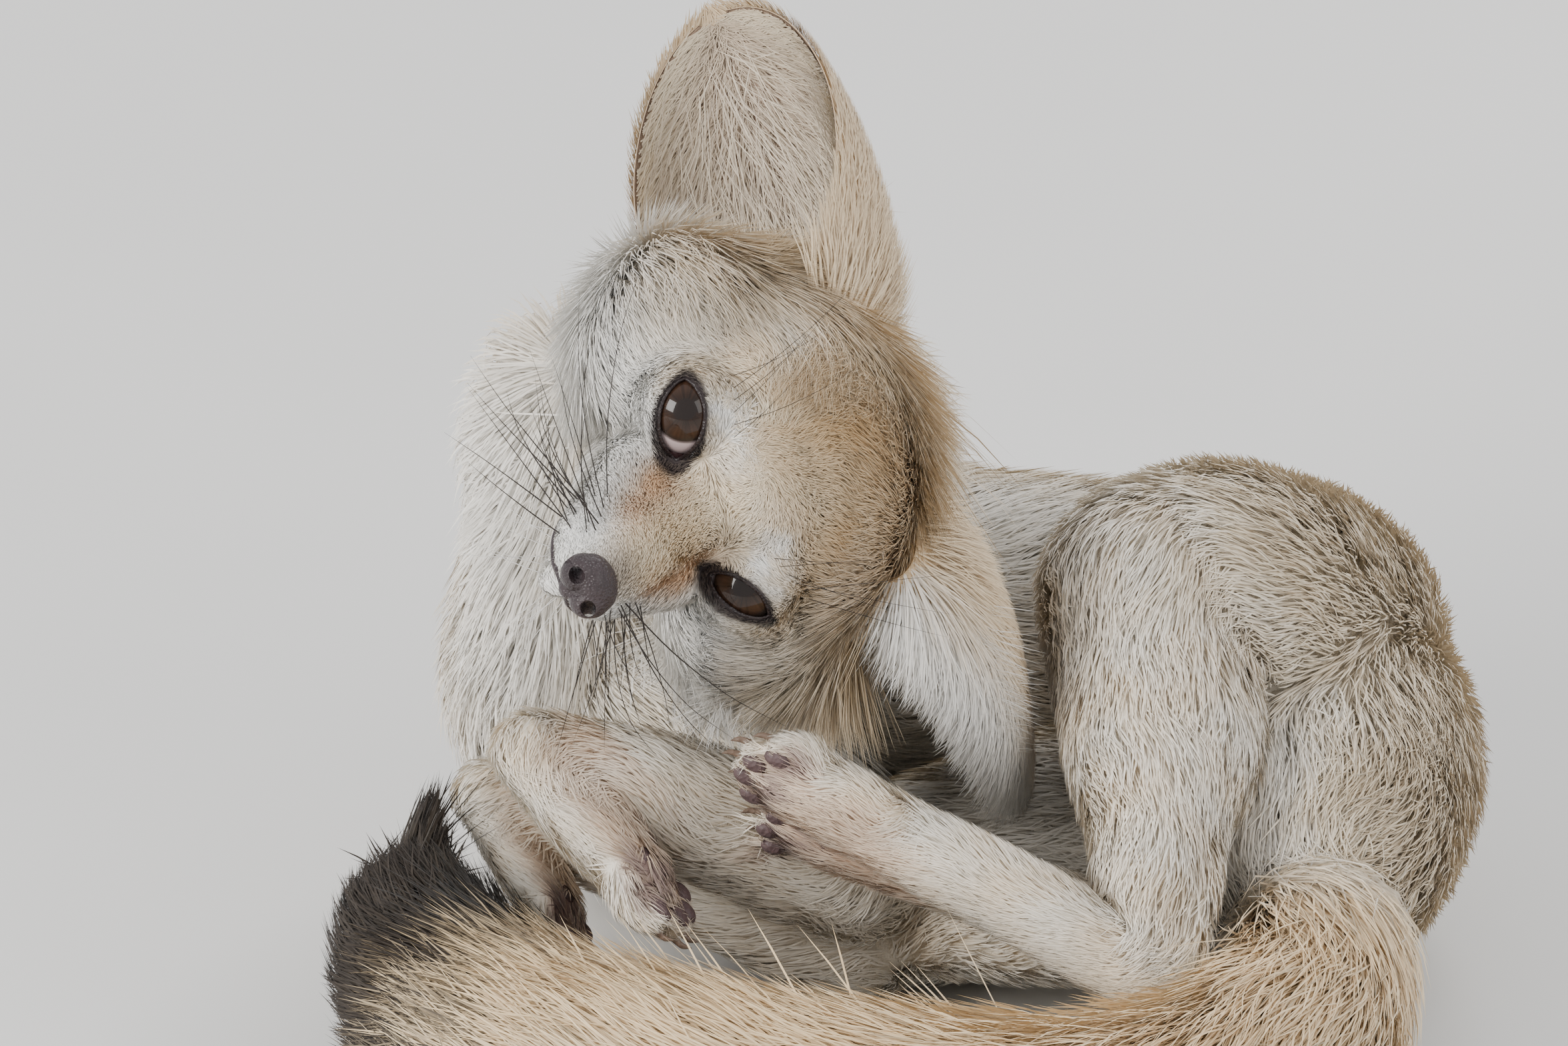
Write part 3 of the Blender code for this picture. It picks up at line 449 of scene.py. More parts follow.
def fill_mesh(mesh, spots, faces):
    """Writes points and faces, which are a list of tuples or an array of equal faces."""
    if isinstance(faces, list):
        sizes = np.array([len(f) for f in faces])
        flat = np.array([i for f in faces for i in f])
    else:
        sizes = np.full(len(faces), faces.shape[1])
        flat = faces.ravel()
    mesh.vertices.add(len(spots))
    mesh.vertices.foreach_set("co", np.asarray(spots, np.float32).ravel())
    mesh.loops.add(len(flat))
    mesh.loops.foreach_set("vertex_index", flat.astype(np.int32))
    mesh.polygons.add(len(sizes))
    starts = np.concatenate([[0], np.cumsum(sizes)[:-1]]).astype(np.int32)
    mesh.polygons.foreach_set("loop_start", starts)
    mesh.update(calc_edges=True)


def make(name, spots, faces, material, slot):
    """An object from points in millimetres."""
    mesh = bpy.data.meshes.new(name)
    spots = np.asarray(spots, float) @ np.array(TO_FRAME.to_3x3()).T + np.array(TO_FRAME.translation)
    fill_mesh(mesh, spots, faces)
    mesh.shade_smooth()
    mesh.materials.append(material)
    obj = bpy.data.objects.new(name, mesh)
    bpy.context.scene.collection.objects.link(obj)
    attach(obj, "root")
    return obj


def poured(name, shapes):
    """A plain object with all these closed shapes in it."""
    starts = np.cumsum([0] + [len(corners) for corners, _ in shapes[:-1]])
    mesh = bpy.data.meshes.new(name)
    fill_mesh(mesh, np.concatenate([corners for corners, _ in shapes]),
              np.concatenate([faces + start for (_, faces), start in zip(shapes, starts)]))
    obj = bpy.data.objects.new(name, mesh)
    bpy.context.scene.collection.objects.link(obj)
    return obj


def remeshed(obj, voxel):
    remesh = obj.modifiers.new("Fuse", 'REMESH')
    remesh.mode = 'VOXEL'
    remesh.voxel_size = voxel


def fused(shapes, voxel, rounds, cuts=()):
    """Corners in millimetres and faces of one closed smooth surface round all the shapes."""
    obj = poured("fused", shapes)
    remeshed(obj, voxel)
    for cutter in cuts:
        cut = obj.modifiers.new("Cut", 'BOOLEAN')
        cut.operation = 'DIFFERENCE'
        cut.object = cutter
        cut.solver = 'MANIFOLD'
    if cuts:
        remeshed(obj, voxel)
    soften = obj.modifiers.new("Soften", 'SMOOTH')
    soften.factor = 0.5
    soften.iterations = rounds
    graph = bpy.context.evaluated_depsgraph_get()
    result = bpy.data.meshes.new_from_object(obj.evaluated_get(graph))
    bpy.data.objects.remove(obj)
    spots = np.empty(len(result.vertices) * 3, np.float32)
    result.vertices.foreach_get("co", spots)
    faces = [tuple(p.vertices) for p in result.polygons]
    return spots.reshape(-1, 3).astype(float), faces


def normals_of(spots, faces):
    """Area-weighted vertex normals of triangles."""
    a, b, c = (spots[faces[:, k]] for k in range(3))
    flat = np.cross(b - a, c - a)
    found = np.zeros_like(spots)
    for k in range(3):
        np.add.at(found, faces[:, k], flat)
    return unit(found)


def unit(v):
    return v / np.maximum(np.linalg.norm(v, axis=1, keepdims=True), 1e-9)


def laid_flat(ways, normals):
    """The headings laid flat on the surface."""
    return unit(ways - normals * (ways * normals).sum(1, keepdims=True))


def wave(spots, size, seed):
    """Smooth noise between -1 and 1, about that many millimetres from hill to hill."""
    draw = np.random.default_rng(seed)
    total = np.zeros(len(spots))
    for _ in range(6):
        way = draw.normal(size=3)
        way *= 2 * math.pi / size / np.linalg.norm(way) * draw.uniform(0.6, 1.5)
        total += np.sin(spots @ way + draw.uniform(0, 2 * math.pi))
    return np.clip(total / 3, -1, 1)


def blob(local, at, sizes):
    """A soft spot, 1 in its middle, in the head's axes, mirrored to both sides."""
    found = np.zeros(len(local))
    for side in (RIGHT, LEFT):
        q = local * (side, 1, 1) - np.array(at)
        found = np.maximum(found, np.exp(-((q / np.array(sizes)) ** 2).sum(1)))
    return found


def plain(colour, count):
    return np.tile(np.array(colour), (count, 1))


def blend(base, colour, share):
    """share is one for all, or one for each row."""
    return base + (np.array(colour) - base) * np.reshape(np.clip(share, 0, 1), (-1, 1))


# The lie, length and colour of the coat, at any spots of the skin

def to_head(spots):
    return (spots - np.array(EYES_AT)) @ np.array(HEAD_TURN)


def head_lie(local):
    """Back from the nose, parting round the eyes, and spreading over crown and cheeks."""
    x, y, z = local.T
    lie = np.stack([0.45 * np.sign(x) * np.minimum(np.abs(x) / 18, 1.2), np.full(len(x), -1.0),
                    0.30 * np.clip((z + 6) / 15, -1.6, 1.2)], 1)
    for side in (RIGHT, LEFT):
        off = local - np.array((side * EYE_SPREAD / 2, 0, 0))
        near = np.exp(-(np.linalg.norm(off, axis=1) / 14) ** 2)[:, None]
        lie += unit(off * (1, 0.4, 1)) * near * 0.75
    chin = np.clip((-z - 16) / 8, 0, 1)[:, None] * np.array((0, -0.2, -0.35))
    return unit(lie + chin)


class Coat:
    """Fields of the coat at the skin's vertices."""

    def __init__(self, spots, normals, parts):
        self.parts = parts
        reach, ways = zip(*(part.reach(spots) for part in parts))
        reach = np.array(reach) + np.array([p.bare for p in parts])[:, None]
        weight = np.exp(-(reach - reach.min(0)) / 3.0)
        self.weight = weight / weight.sum(0)
        self.owner = self.weight.argmax(0)
        local = to_head(spots)
        ways = list(ways)
        ways[0] = head_lie(local)
        lie = sum(w[:, None] * way for w, way in zip(self.weight, ways))
        swirl = 0.35 * wave(spots, 45, 3) + 0.25 * wave(spots, 16, 4)
        lie = laid_flat(lie, normals)
        side = np.cross(normals, lie)
        self.lie = lie * np.cos(swirl)[:, None] + side * np.sin(swirl)[:, None]
        self.length = self.mixed([p.length for p in parts])
        self.rise = self.mixed([p.rise for p in parts])
        self.width = self.mixed([p.width for p in parts])
        self.share = self.mixed([p.share for p in parts])
        self.gap, self.dark = lid_gap(spots)
        self.shape_head(local)
        self.shape_tail(spots)
        self.colour(spots, normals, local)

    def mixed(self, values):
        return np.array(values) @ self.weight

    def part(self, *names):
        return sum(self.weight[i] for i, p in enumerate(self.parts) if p.name in names)

    def shape_head(self, local):
        """The face's hair is shortest at the nose and eyes and longest on the cheeks and nape."""
        head = self.part("head")
        x, y, z = local.T
        back = np.clip((-y - 6) / 30, 0, 1)
        cheek = np.clip((-y - 4) / 18, 0, 1) * np.clip((np.abs(x) - 16) / 14, 0, 1) \
            * np.clip((8 - z) / 10, 0, 1)
        crown = np.clip((-y - 8) / 16, 0, 1) * np.clip((z - 3) / 14, 0, 1)
        fine = np.clip((38 - y) / 40, 0.30, 1)
        eye = np.exp(-(np.clip(self.gap, 0, None) / 5) ** 2)
        ear = blob(local, (25, -24, 15), (15, 12, 10))
        nape = np.clip((-y - 20) / 12, 0, 1) * np.clip((z + 8) / 10, 0, 1)
        longer = fine * (1 - 0.7 * eye) * (0.75 + 0.9 * back + 2.0 * cheek + 1.0 * crown + 0.9 * ear
                                           + 1.3 * nape)
        self.length *= 1 + head * (longer - 1)
        raised = fine * (1 - 0.6 * eye) * (0.8 + 0.7 * back + 2.6 * cheek + 1.4 * crown + 0.9 * nape)
        self.rise *= 1 + head * (raised - 1)
        self.width *= 1 - 0.3 * head * (1 - fine) - 0.3 * head * eye
        self.share *= 1 + head * (0.9 * np.clip((y + 12) / 20, 0, 1) + 0.9 * eye + 0.6 * crown)

    def shape_tail(self, spots):
        """The tail's hair stands as high as the brush is full, and is shorter at its end."""
        tail = self.part("tail")
        centre, sizes = smooth_path(TAIL, TAIL_R, 8)
        centre, sizes = np.array(centre), np.array(sizes)
        nearest = np.zeros(len(spots), int)
        inside = tail > 0.05
        far = np.linalg.norm(spots[inside][:, None] - centre[None], axis=2)
        nearest[inside] = far.argmin(1)
        full = sizes[nearest] * (1 - TAIL_CORE)
        self.along_tail = nearest / (len(centre) - 1)
        end = np.clip((self.along_tail - 0.65) / 0.2, 0, 1)
        self.rise = self.rise * (1 - tail) + full * tail
        self.length = self.length * (1 - tail) + tail * (44 - 4 * self.along_tail - 10 * end)
        self.share = self.share * (1 + 1.2 * tail * end)

    def colour(self, spots, normals, local):
        speck = wave(spots, 14, 5)
        # Belly and inner legs are white, the back sandy. The trunk is curled round its belly.
        out = unit((spots - np.array(CURL_CENTRE)) * (1, 1, 0))
        dorsal = (normals * out).sum(1) * 0.75 + 0.25 * normals[:, 2]
        back = np.clip((dorsal - 0.1) / 0.65 + 0.15 * speck, 0, 1)
        under = plain(WHITE, len(spots))
        root = blend(under, CREAM, 0.45 + 0.45 * back)
        tip = blend(blend(under, CREAM, 0.30 + back), BUFF, 0.65 * back)
        tip = blend(tip, GREY, np.clip(back - 0.45, 0, 1) * 0.45)
        # Legs and feet are paler.
        legs = self.part("foot_left", "foot_right", "paw_left", "paw_right", "forearm_left",
                         "forearm_right", "shank_left", "shank_right")
        pale = blend(blend(under, CREAM, 0.55), GOLD, 0.22 + 0.22 * speck)
        root = blend(root, pale, legs)
        tip = blend(tip, blend(pale, WHITE, 0.35), legs)
        # The throat and the ruff under it are white, the nape buff.
        neck = self.part("neck")
        throat = np.clip(-normals[:, 1] * 0.9 - 0.6 * normals[:, 0], 0, 1)
        ruff = blend(blend(under, CREAM, 0.75 - 0.55 * throat), BUFF, 0.30 - 0.30 * throat)
        darker = blend(ruff, BUFF, 0.35 - 0.35 * throat + 0.12 * speck)
        root = blend(root, ruff, neck)
        tip = blend(tip, blend(darker, GREY, 0.16 - 0.10 * throat), neck)
        for foot in FEET:
            root, tip = self.colour_sole(spots, normals, foot, root, tip)
        root, tip = self.colour_tail(spots, normals, root, tip)
        self.root, self.tip = self.colour_head(local, speck, root, tip)

    def colour_sole(self, spots, normals, foot, root, tip):
        """Peach under the foot, with dark skin in the cleft behind the toes."""
        start, along = np.array(foot.start), np.array(foot.toes - foot.start)
        ahead = (spots - start) @ along / (along @ along)
        aside = np.linalg.norm(spots - start - ahead[:, None] * along, axis=1)
        under = np.clip(normals @ np.array(foot.sole.normalized()) * 1.6 - 0.3, 0, 1) * (aside < 17)
        sole = under * np.clip((ahead + 0.1) / 0.2, 0, 1) * np.clip((0.95 - ahead) / 0.2, 0, 1)
        cleft = under * np.exp(-((ahead - 0.70 + 0.06 * wave(spots, 7, 12)) / 0.07) ** 2)
        root = blend(blend(root, PEACH, 0.65 * sole), MAUVE, 0.9 * cleft)
        tip = blend(blend(tip, PEACH, 0.45 * sole), MAUVE, 0.8 * cleft)
        return root, tip

    def colour_tail(self, spots, normals, root, tip):
        """Golden cream above, paler below, and black at the end."""
        tail = self.part("tail")
        end = np.clip((self.along_tail - 0.69 + 0.05 * wave(spots, 10, 9)) / 0.07, 0, 1)
        upper = np.clip(normals[:, 2] * 0.8 + 0.2, 0, 1)
        cream = blend(plain(CREAM, len(spots)), WHITE, 0.15)
        gold = blend(cream, GOLD, 0.45 + 0.40 * upper)
        shade = blend(gold, UMBER, 0.06 * upper)
        return (blend(root, blend(gold, BLACK, end * 0.9), tail),
                blend(tip, blend(shade, BLACK, end), tail))

    def colour_head(self, local, speck, root, tip):
        """Cream and buff, gold on the crown, white below, and the marks of the face on top."""
        head = self.part("head")
        y, z = local[:, 1], local[:, 2]
        streak = 0.75 + 0.35 * wave(local * (1, 0.3, 1), 4, 13)
        base = blend(plain(CREAM, len(local)), BUFF, 0.42 + 0.25 * speck)
        crown = np.clip((z - 2) / 14, 0, 1) * np.clip((-y + 8) / 26, 0, 1)
        base = blend(base, GOLD, 0.50 * crown + 0.3 * speck * crown)
        base = blend(base, WHITE, 0.92 * np.clip((-z - 6) / 7, 0, 1))
        for colour, share, streaky, at, sizes in FACE_MARKS:
            spread = streak if streaky else 1
            base = blend(base, colour, share * spread * blob(local, at, sizes))
        tips = blend(base, GREY, 0.10 * crown + 0.02)
        base = blend(base, LID_DARK, self.dark)
        tips = blend(tips, LID_DARK, self.dark * 0.9)
        return blend(root, base, head), blend(tip, tips, head)


FACE_MARKS = (    # colour, share, whether in streaks, middle in the head's axes, sizes
    (WHITE, 1.2, False, (23, 1, -8), (14, 19, 8)),           # below the eyes
    (WHITE, 0.6, False, (36, -18, -6), (13, 14, 16)),        # cheeks
    (WHITE, 1.1, True, (15, 2, 9), (10, 8, 6)),              # brows
    (WHITE, 0.5, True, (30, -22, 16), (12, 8, 10)),          # in front of the ears
    (GOLD, 0.55, False, (0, 15, -2), (7, 17, 6)),            # bridge
    (TAN, 0.9, False, (10.5, 10, -5), (4.4, 8, 4.6)),        # from the eyes' inner corners
    (TAN, 0.7, False, (8, 19, -8), (3.8, 8, 3.8)),           # and on down the muzzle
    (WHITE, 1.1, False, (8.5, 28, -15.5), (6, 12, 6)),       # lips
    (CREAM, 0.5, False, (0, 22, -4), (2.6, 12, 5)),          # bridge, in front
    (GREY, 0.8, False, (0, 34, -7.5), (5.5, 7, 5)),          # behind the nose
)


# Skin

def skin_mesh(parts):
    shapes = [shape for part in parts for form in part.forms for shape in form.shapes(part.bare)]
    spots, faces = fused(shapes, SKIN_VOXEL, 10)
    quads = np.array([f if len(f) == 4 else f + (f[-1],) for f in faces])
    triangles = np.concatenate([quads[:, :3], quads[:, [0, 2, 3]]])
    triangles = triangles[(triangles[:, 0] != triangles[:, 2]) & (triangles[:, 1] != triangles[:, 2])]
    return open_lids(spots, triangles)


LID_RINGS = (0.55, 0.9, 1.4, 2.0, 2.7, 3.5, 4.4, 5.4, 6.5, 7.6, 8.8)
LID_TURNS = 112


def lid_patch(lids, tree):
    """A smooth sheet round the opening, whose outer edge dips under the skin."""
    turns = 2 * math.pi * np.arange(LID_TURNS) / LID_TURNS
    angle, gap = (grid.ravel() for grid in np.meshgrid(turns, LID_RINGS, indexing="ij"))
    x, z = lids.off_middle(lids.edge(angle) + gap, angle)
    starts = lids.world(np.stack([x, np.full_like(x, 40.0), z], 1))
    back = Vector(-lids.frame[:, 1])
    hits = np.array([tree.ray_cast(Vector(start), back)[3] or 40.0 for start in starts])
    y = lids.height(x, z, gap, angle, 40.0 - hits) - 0.45 * ease((gap - LID_REACH + 1.5) / 2)
    spots = lids.world(np.stack([x, y, z], 1))
    rings = len(LID_RINGS)
    faces = []
    for k in range(LID_TURNS):
        a, b = k * rings, (k + 1) % LID_TURNS * rings
        for i in range(rings - 1):
            faces += [(a + i, b + i, b + i + 1), (a + i, b + i + 1, a + i + 1)]
    faces = np.array(faces)
    if (normals_of(spots, faces) @ lids.frame[:, 1]).mean() < 0:
        faces = faces[:, ::-1]
    return spots, faces, gap < 0.8


def open_lids(spots, triangles):
    """Sinks the skin inside the openings, lays the lids round them, and marks what grows no hair."""
    tree = BVHTree.FromPolygons(spots.tolist(), triangles.tolist())
    patches = [lid_patch(lids, tree) for lids in LIDS.values()]
    bald = np.zeros(len(spots))
    for lids in LIDS.values():
        local = lids.local(spots)
        near = np.flatnonzero(lids.near(local))
        gap, angle = lids.gap(local[near])
        near, angle, gap = near[gap < LID_REACH], angle[gap < LID_REACH], gap[gap < LID_REACH]
        x, y, z = local[near].T
        y = lids.height(x, z, gap, angle, y) - 1.2 * (1 - ease((gap - LID_REACH + 2) / 2))
        y[gap < 0.3] = -3.0
        spots[near] = lids.world(np.stack([x, y, z], 1))
        bald[near] = gap < LID_REACH - 0.8
    for more, faces, bare in patches:
        triangles = np.concatenate([triangles, faces + len(spots)])
        spots = np.concatenate([spots, more])
        bald = np.concatenate([bald, bare])
    return spots, triangles, bald


# Tufts

class Skin:
    """The skin's triangles with the coat's fields, to draw roots from and to lay hairs along."""

    def __init__(self, spots, triangles, bald, coat):
        self.spots, self.triangles, self.bald, self.coat = spots, triangles, bald, coat
        self.normals = normals_of(spots, triangles)
        self.tree = BVHTree.FromPolygons(spots.tolist(), triangles.tolist())
        a, b, c = (spots[triangles[:, k]] for k in range(3))
        self.areas = np.linalg.norm(np.cross(b - a, c - a), axis=1) / 2

    def draw(self, share, count):
        """Random roots, as triangles and weights of their corners."""
        odds = self.areas * share[self.triangles].mean(1)
        which = RNG.choice(len(odds), size=count, p=odds / odds.sum())
        u, v = RNG.random(count), RNG.random(count)
        over = u + v > 1
        u[over], v[over] = 1 - u[over], 1 - v[over]
        return which, np.stack([1 - u - v, u, v], 1)

    def at(self, field, which, bary):
        corners = field[self.triangles[which]]
        if corners.ndim == 3:
            return (corners * bary[:, :, None]).sum(1)
        return (corners * bary).sum(1)

    def over(self, spots):
        """The nearest places on the skin and the directions out of it."""
        found = np.empty((len(spots), 2, 3))
        find = self.tree.find_nearest
        for i, spot in enumerate(spots.tolist()):
            near, normal = find(spot)[:2]
            found[i, 0] = near
            found[i, 1] = normal
        return found[:, 0], found[:, 1]


def clumped(roots, tips, size, pull, seed):
    """Draws tips together towards those of scattered leaders."""
    draw = np.random.default_rng(seed)
    count = max(len(roots) // size, 1)
    leaders = draw.choice(len(roots), count, replace=False)
    tree = KDTree(count)
    for i, spot in enumerate(roots[leaders].tolist()):
        tree.insert(spot, i)
    tree.balance()
    nearest = np.array([tree.find(spot)[1] for spot in roots.tolist()])
    return tips + (tips[leaders[nearest]] - tips) * pull[:, None]


def laid_tips(roots, normals, way, reach, height, skin):
    """Ends that follow the skin's curve, or shorter straight hairs where it turns away too fast."""
    flat = np.sqrt(np.maximum(reach ** 2 - height ** 2, (0.35 * reach) ** 2))
    tips = roots + way * flat[:, None] + normals * height[:, None] * 0.6
    ground, outward = skin.over(tips)
    laid = ground + outward * height[:, None]
    kept = np.linalg.norm(laid - tips, axis=1) < 0.6 * reach + 1
    return np.where(kept[:, None], laid, roots * 0.4 + tips * 0.6)


def raised_middles(roots, tips, normals, height, rows, skin):
    """The bend of each hair, kept clear of the skin where the hair is long."""
    middle = (roots + tips) / 2 + normals * height[:, None] * 0.16
    if rows > 2:
        ground, outward = skin.over(roots * 0.5 + tips * 0.5)
        lifted = ((middle - ground) * outward).sum(1)
        middle += outward * np.clip(height * 0.62 - lifted, 0, None)[:, None]
    return middle


def blade_faces(count, rows):
    """Triangles of blades that have this many pairs of corners and a tip each."""
    one = []
    for a in range(0, 2 * rows - 2, 2):
        one += [(a, a + 1, a + 3), (a, a + 3, a + 2)]
    one.append((2 * rows - 2, 2 * rows - 1, 2 * rows))
    starts = np.arange(count) * (2 * rows + 1)
    return (np.array(one)[None] + starts[:, None, None]).reshape(-1, 3)


def blades(name, roots, normals, lie, length, rise, width, root_tint, tip_tint, skin, material, slot,
           rows, spread, clump, pull, dark, seed):
    """Joins thin bent blades into one mesh. dark is the share of hairs with dark tips."""
    count = len(roots)
    draw = np.random.default_rng(seed)
    angle = draw.normal(0, spread, count)
    side = np.cross(normals, lie)
    way = lie * np.cos(angle)[:, None] + side * np.sin(angle)[:, None]
    reach = length * draw.uniform(0.7, 1.15, count)
    height = rise * draw.uniform(0.55, 1.05, count)
    tips = laid_tips(roots, normals, way, reach, height, skin)
    tips = clumped(roots, tips, clump, pull * draw.uniform(0.4, 1.2, count), seed + 50)
    middle = raised_middles(roots, tips, normals, height, rows, skin)
    rings = []
    for k in range(rows):
        t = k / rows
        rings.append(roots * (1 - t) ** 2 + (2 * middle - (roots + tips) / 2) * 2 * t * (1 - t)
                     + tips * t ** 2)
    heading = unit(tips - roots)
    across = unit(np.cross(heading, normals))
    tilt = draw.normal(0, 0.45, count)[:, None]
    across = unit(across * np.cos(tilt) + normals * np.sin(tilt))
    facing = unit(np.cross(across, heading))
    facing = unit(facing * 0.45 + normals)
    spots = np.empty((count, 2 * rows + 1, 3))
    for k, ring in enumerate(rings):
        half = width / 2 * (1.0 - 0.25 * k / rows if k else 0.75)
        spots[:, 2 * k] = ring - across * half[:, None]
        spots[:, 2 * k + 1] = ring + across * half[:, None]
    spots[:, -1] = tips
    floor = -TO_FRAME.translation.z / MM
    spots[..., 2] = np.maximum(spots[..., 2], floor + draw.uniform(0.2, 1.0, count)[:, None])
    step = 2 * rows + 1
    obj = make(name, spots.reshape(-1, 3), blade_faces(count, rows), material, slot)
    tips_dark = np.where(draw.random(count) < dark, draw.uniform(0.25, 0.7, count), 1.0)
    paint_blades(obj, root_tint, tip_tint * tips_dark[:, None], step, draw)
    obj.data.normals_split_custom_set_from_vertices(np.repeat(facing, step, 0))
    return obj


def paint_blades(obj, root_tint, tip_tint, step, draw):
    """Colours each blade from its root to its tip, and no two quite alike."""
    shares = (np.arange(step) // 2 / (step // 2))[None, :, None]
    tint = root_tint[:, None] * (1 - shares) + tip_tint[:, None] * shares
    tint *= draw.normal(1, 0.05, len(root_tint))[:, None, None]
    paint(obj, tint.reshape(-1, 3))


def paint(obj, tint):
    layer = obj.data.color_attributes.new("tint", 'FLOAT_COLOR', 'POINT')
    full = np.ones((len(tint), 4), np.float32)
    full[:, :3] = np.clip(tint, 0, 1)
    layer.data.foreach_set("color", full.ravel())


BAKE_PATCH = 0.003    # how wide one blade's patch is in the unwrap


def bake_map(obj, places, step):
    """Gives each blade a patch at its root's place on an unwrap of the skin."""
    mesh = obj.data
    layer = mesh.uv_layers.new(name="OFBake")
    corner = np.empty(len(mesh.loops), np.int32)
    mesh.loops.foreach_get("vertex_index", corner)
    within = corner % step
    v = (within // 2) / (step // 2)
    u = np.where(within == step - 1, 0.5, within % 2)
    uv = places[corner // step] * (1 - BAKE_PATCH) + np.stack([u, v], 1) * BAKE_PATCH
    layer.data.foreach_set("uv", uv.astype(np.float32).ravel())


class Line:
    """A centre line to wind a chart round."""

    def __init__(self, spots):
        self.spots = np.array([list(s) for s in spots], float)
        steps = np.linalg.norm(np.diff(self.spots, axis=0), axis=1)
        self.ways = np.concatenate([[0], np.cumsum(steps)])

    def chart(self, spots):
        """How far along the line and round it each spot is, both from 0 to 1."""
        far = np.linalg.norm(spots[:, None] - self.spots[None], axis=2)
        near = far.argmin(1)
        low = np.clip(near, 0, len(self.spots) - 2)
        heading = unit(self.spots[low + 1] - self.spots[low])
        off = spots - self.spots[near]
        slide = (off * heading).sum(1)
        along = self.ways[near] + slide
        low_end, high_end = along.min(), along.max()
        across = unit(np.cross(heading, np.array((0.31, 0.11, 0.94))))
        upward = np.cross(across, heading)
        turn = np.arctan2((off * upward).sum(1), (off * across).sum(1)) / (2 * math.pi) + 0.5
        return (along - low_end) / max(high_end - low_end, 1e-6), turn


# Materials

def material(name, roughness, **extra):
    """extra sets the shader's sockets by name, with underscores for spaces."""
    made = bpy.data.materials.new(name)
    made.use_nodes = True
    shader = made.node_tree.nodes["Principled BSDF"]
    shader.inputs["Roughness"].default_value = roughness
    for key, value in extra.items():
        shader.inputs[key.replace("_", " ")].default_value = value
    return made, made.node_tree, shader


def tinted(name, roughness, grain, strength, **extra):
    """Takes its colour from the marking attribute, broken up by a little grain."""
    made, tree, shader = material(name, roughness, **extra)
    marks = tree.nodes.new("ShaderNodeAttribute")
    marks.attribute_name = "tint"
    noise = tree.nodes.new("ShaderNodeTexNoise")
    noise.inputs["Scale"].default_value = grain
    noise.inputs["Detail"].default_value = 3
    spread = tree.nodes.new("ShaderNodeMapRange")
    spread.inputs["To Min"].default_value = 1 - strength
    spread.inputs["To Max"].default_value = 1 + strength
    scale = tree.nodes.new("ShaderNodeVectorMath")
    scale.operation = 'SCALE'
    coords = tree.nodes.new("ShaderNodeTexCoord")
    tree.links.new(coords.outputs["Object"], noise.inputs["Vector"])
    tree.links.new(noise.outputs["Fac"], spread.inputs["Value"])
    tree.links.new(marks.outputs["Color"], scale.inputs[0])
    tree.links.new(spread.outputs["Result"], scale.inputs["Scale"])
    tree.links.new(scale.outputs["Vector"], shader.inputs["Base Color"])
    return made, tree, shader


def add_bump(tree, shader, kind, scale, distance, strength=0.6):
    """Raises fine grain: pebbles for kind VORONOI, fibres or dimples for kind NOISE."""
    texture = tree.nodes.new("ShaderNodeTexVoronoi" if kind == 'VORONOI' else "ShaderNodeTexNoise")
    texture.inputs["Scale"].default_value = scale
    coords = tree.nodes.new("ShaderNodeTexCoord")
    bump = tree.nodes.new("ShaderNodeBump")
    bump.inputs["Distance"].default_value = distance * MM
    bump.inputs["Strength"].default_value = strength
    tree.links.new(coords.outputs["Object"], texture.inputs["Vector"])
    tree.links.new(texture.outputs[0], bump.inputs["Height"])
    tree.links.new(bump.outputs["Normal"], shader.inputs["Normal"])


def mottle(tree, shader, scale, dark, light):
    """Colours the shader with noise from dark to light, and returns the noise."""
    noise = tree.nodes.new("ShaderNodeTexNoise")
    noise.inputs["Scale"].default_value = scale
    ramp = tree.nodes.new("ShaderNodeValToRGB")
    ramp.color_ramp.elements[0].color = (*dark, 1)
    ramp.color_ramp.elements[1].color = (*light, 1)
    tree.links.new(noise.outputs["Fac"], ramp.inputs["Fac"])
    tree.links.new(ramp.outputs["Color"], shader.inputs["Base Color"])
    return noise


def fur_material():
    return tinted("fur", 0.62, 900, 0.10, Specular_IOR_Level=0.32, Sheen_Weight=0.12,
                  Sheen_Roughness=0.5)[0]


def skin_material():
    made, tree, shader = tinted("skin", 0.75, 1500, 0.18)
    add_bump(tree, shader, 'NOISE', 2400, 0.35)
    return made


def wet_dark(name, colour, roughness, pebble):
    """Bare skin or horn, mottled, pebbled and a little wet."""
    made, tree, shader = material(name, roughness, Coat_Weight=0.15, Coat_Roughness=0.25,
                                  Specular_IOR_Level=0.3)
    noise = mottle(tree, shader, 260, [c * 0.6 for c in colour], [min(c * 1.5, 1) for c in colour])
    coords = tree.nodes.new("ShaderNodeTexCoord")
    tree.links.new(coords.outputs["Object"], noise.inputs["Vector"])
    add_bump(tree, shader, 'VORONOI', pebble, 0.5)
    return made


# Eyes, nose, lips, pads, claws and whiskers

def tube(points, radii, sides=8):
    """Rings along a path, closed at both ends."""
    spots, sizes = smooth_path(points, radii, 5)
    verts, faces = [], []
    frame = None
    for i, (spot, size) in enumerate(zip(spots, sizes)):
        way = (spots[min(i + 1, len(spots) - 1)] - spots[max(i - 1, 0)]).normalized()
        if frame is None:
            frame = way.orthogonal().normalized()
        frame = (frame - way * frame.dot(way)).normalized()
        other = way.cross(frame)
        for k in range(sides):
            angle = 2 * math.pi * k / sides
            verts.append(spot + (frame * math.cos(angle) + other * math.sin(angle)) * size)
    for i in range(len(spots) - 1):
        for k in range(sides):
            a, b = i * sides + k, i * sides + (k + 1) % sides
            faces.append((a, b, b + sides, a + sides))
    faces.append(tuple(range(sides))[::-1])
    last = (len(spots) - 1) * sides
    faces.append(tuple(range(last, last + sides)))
    return verts, faces


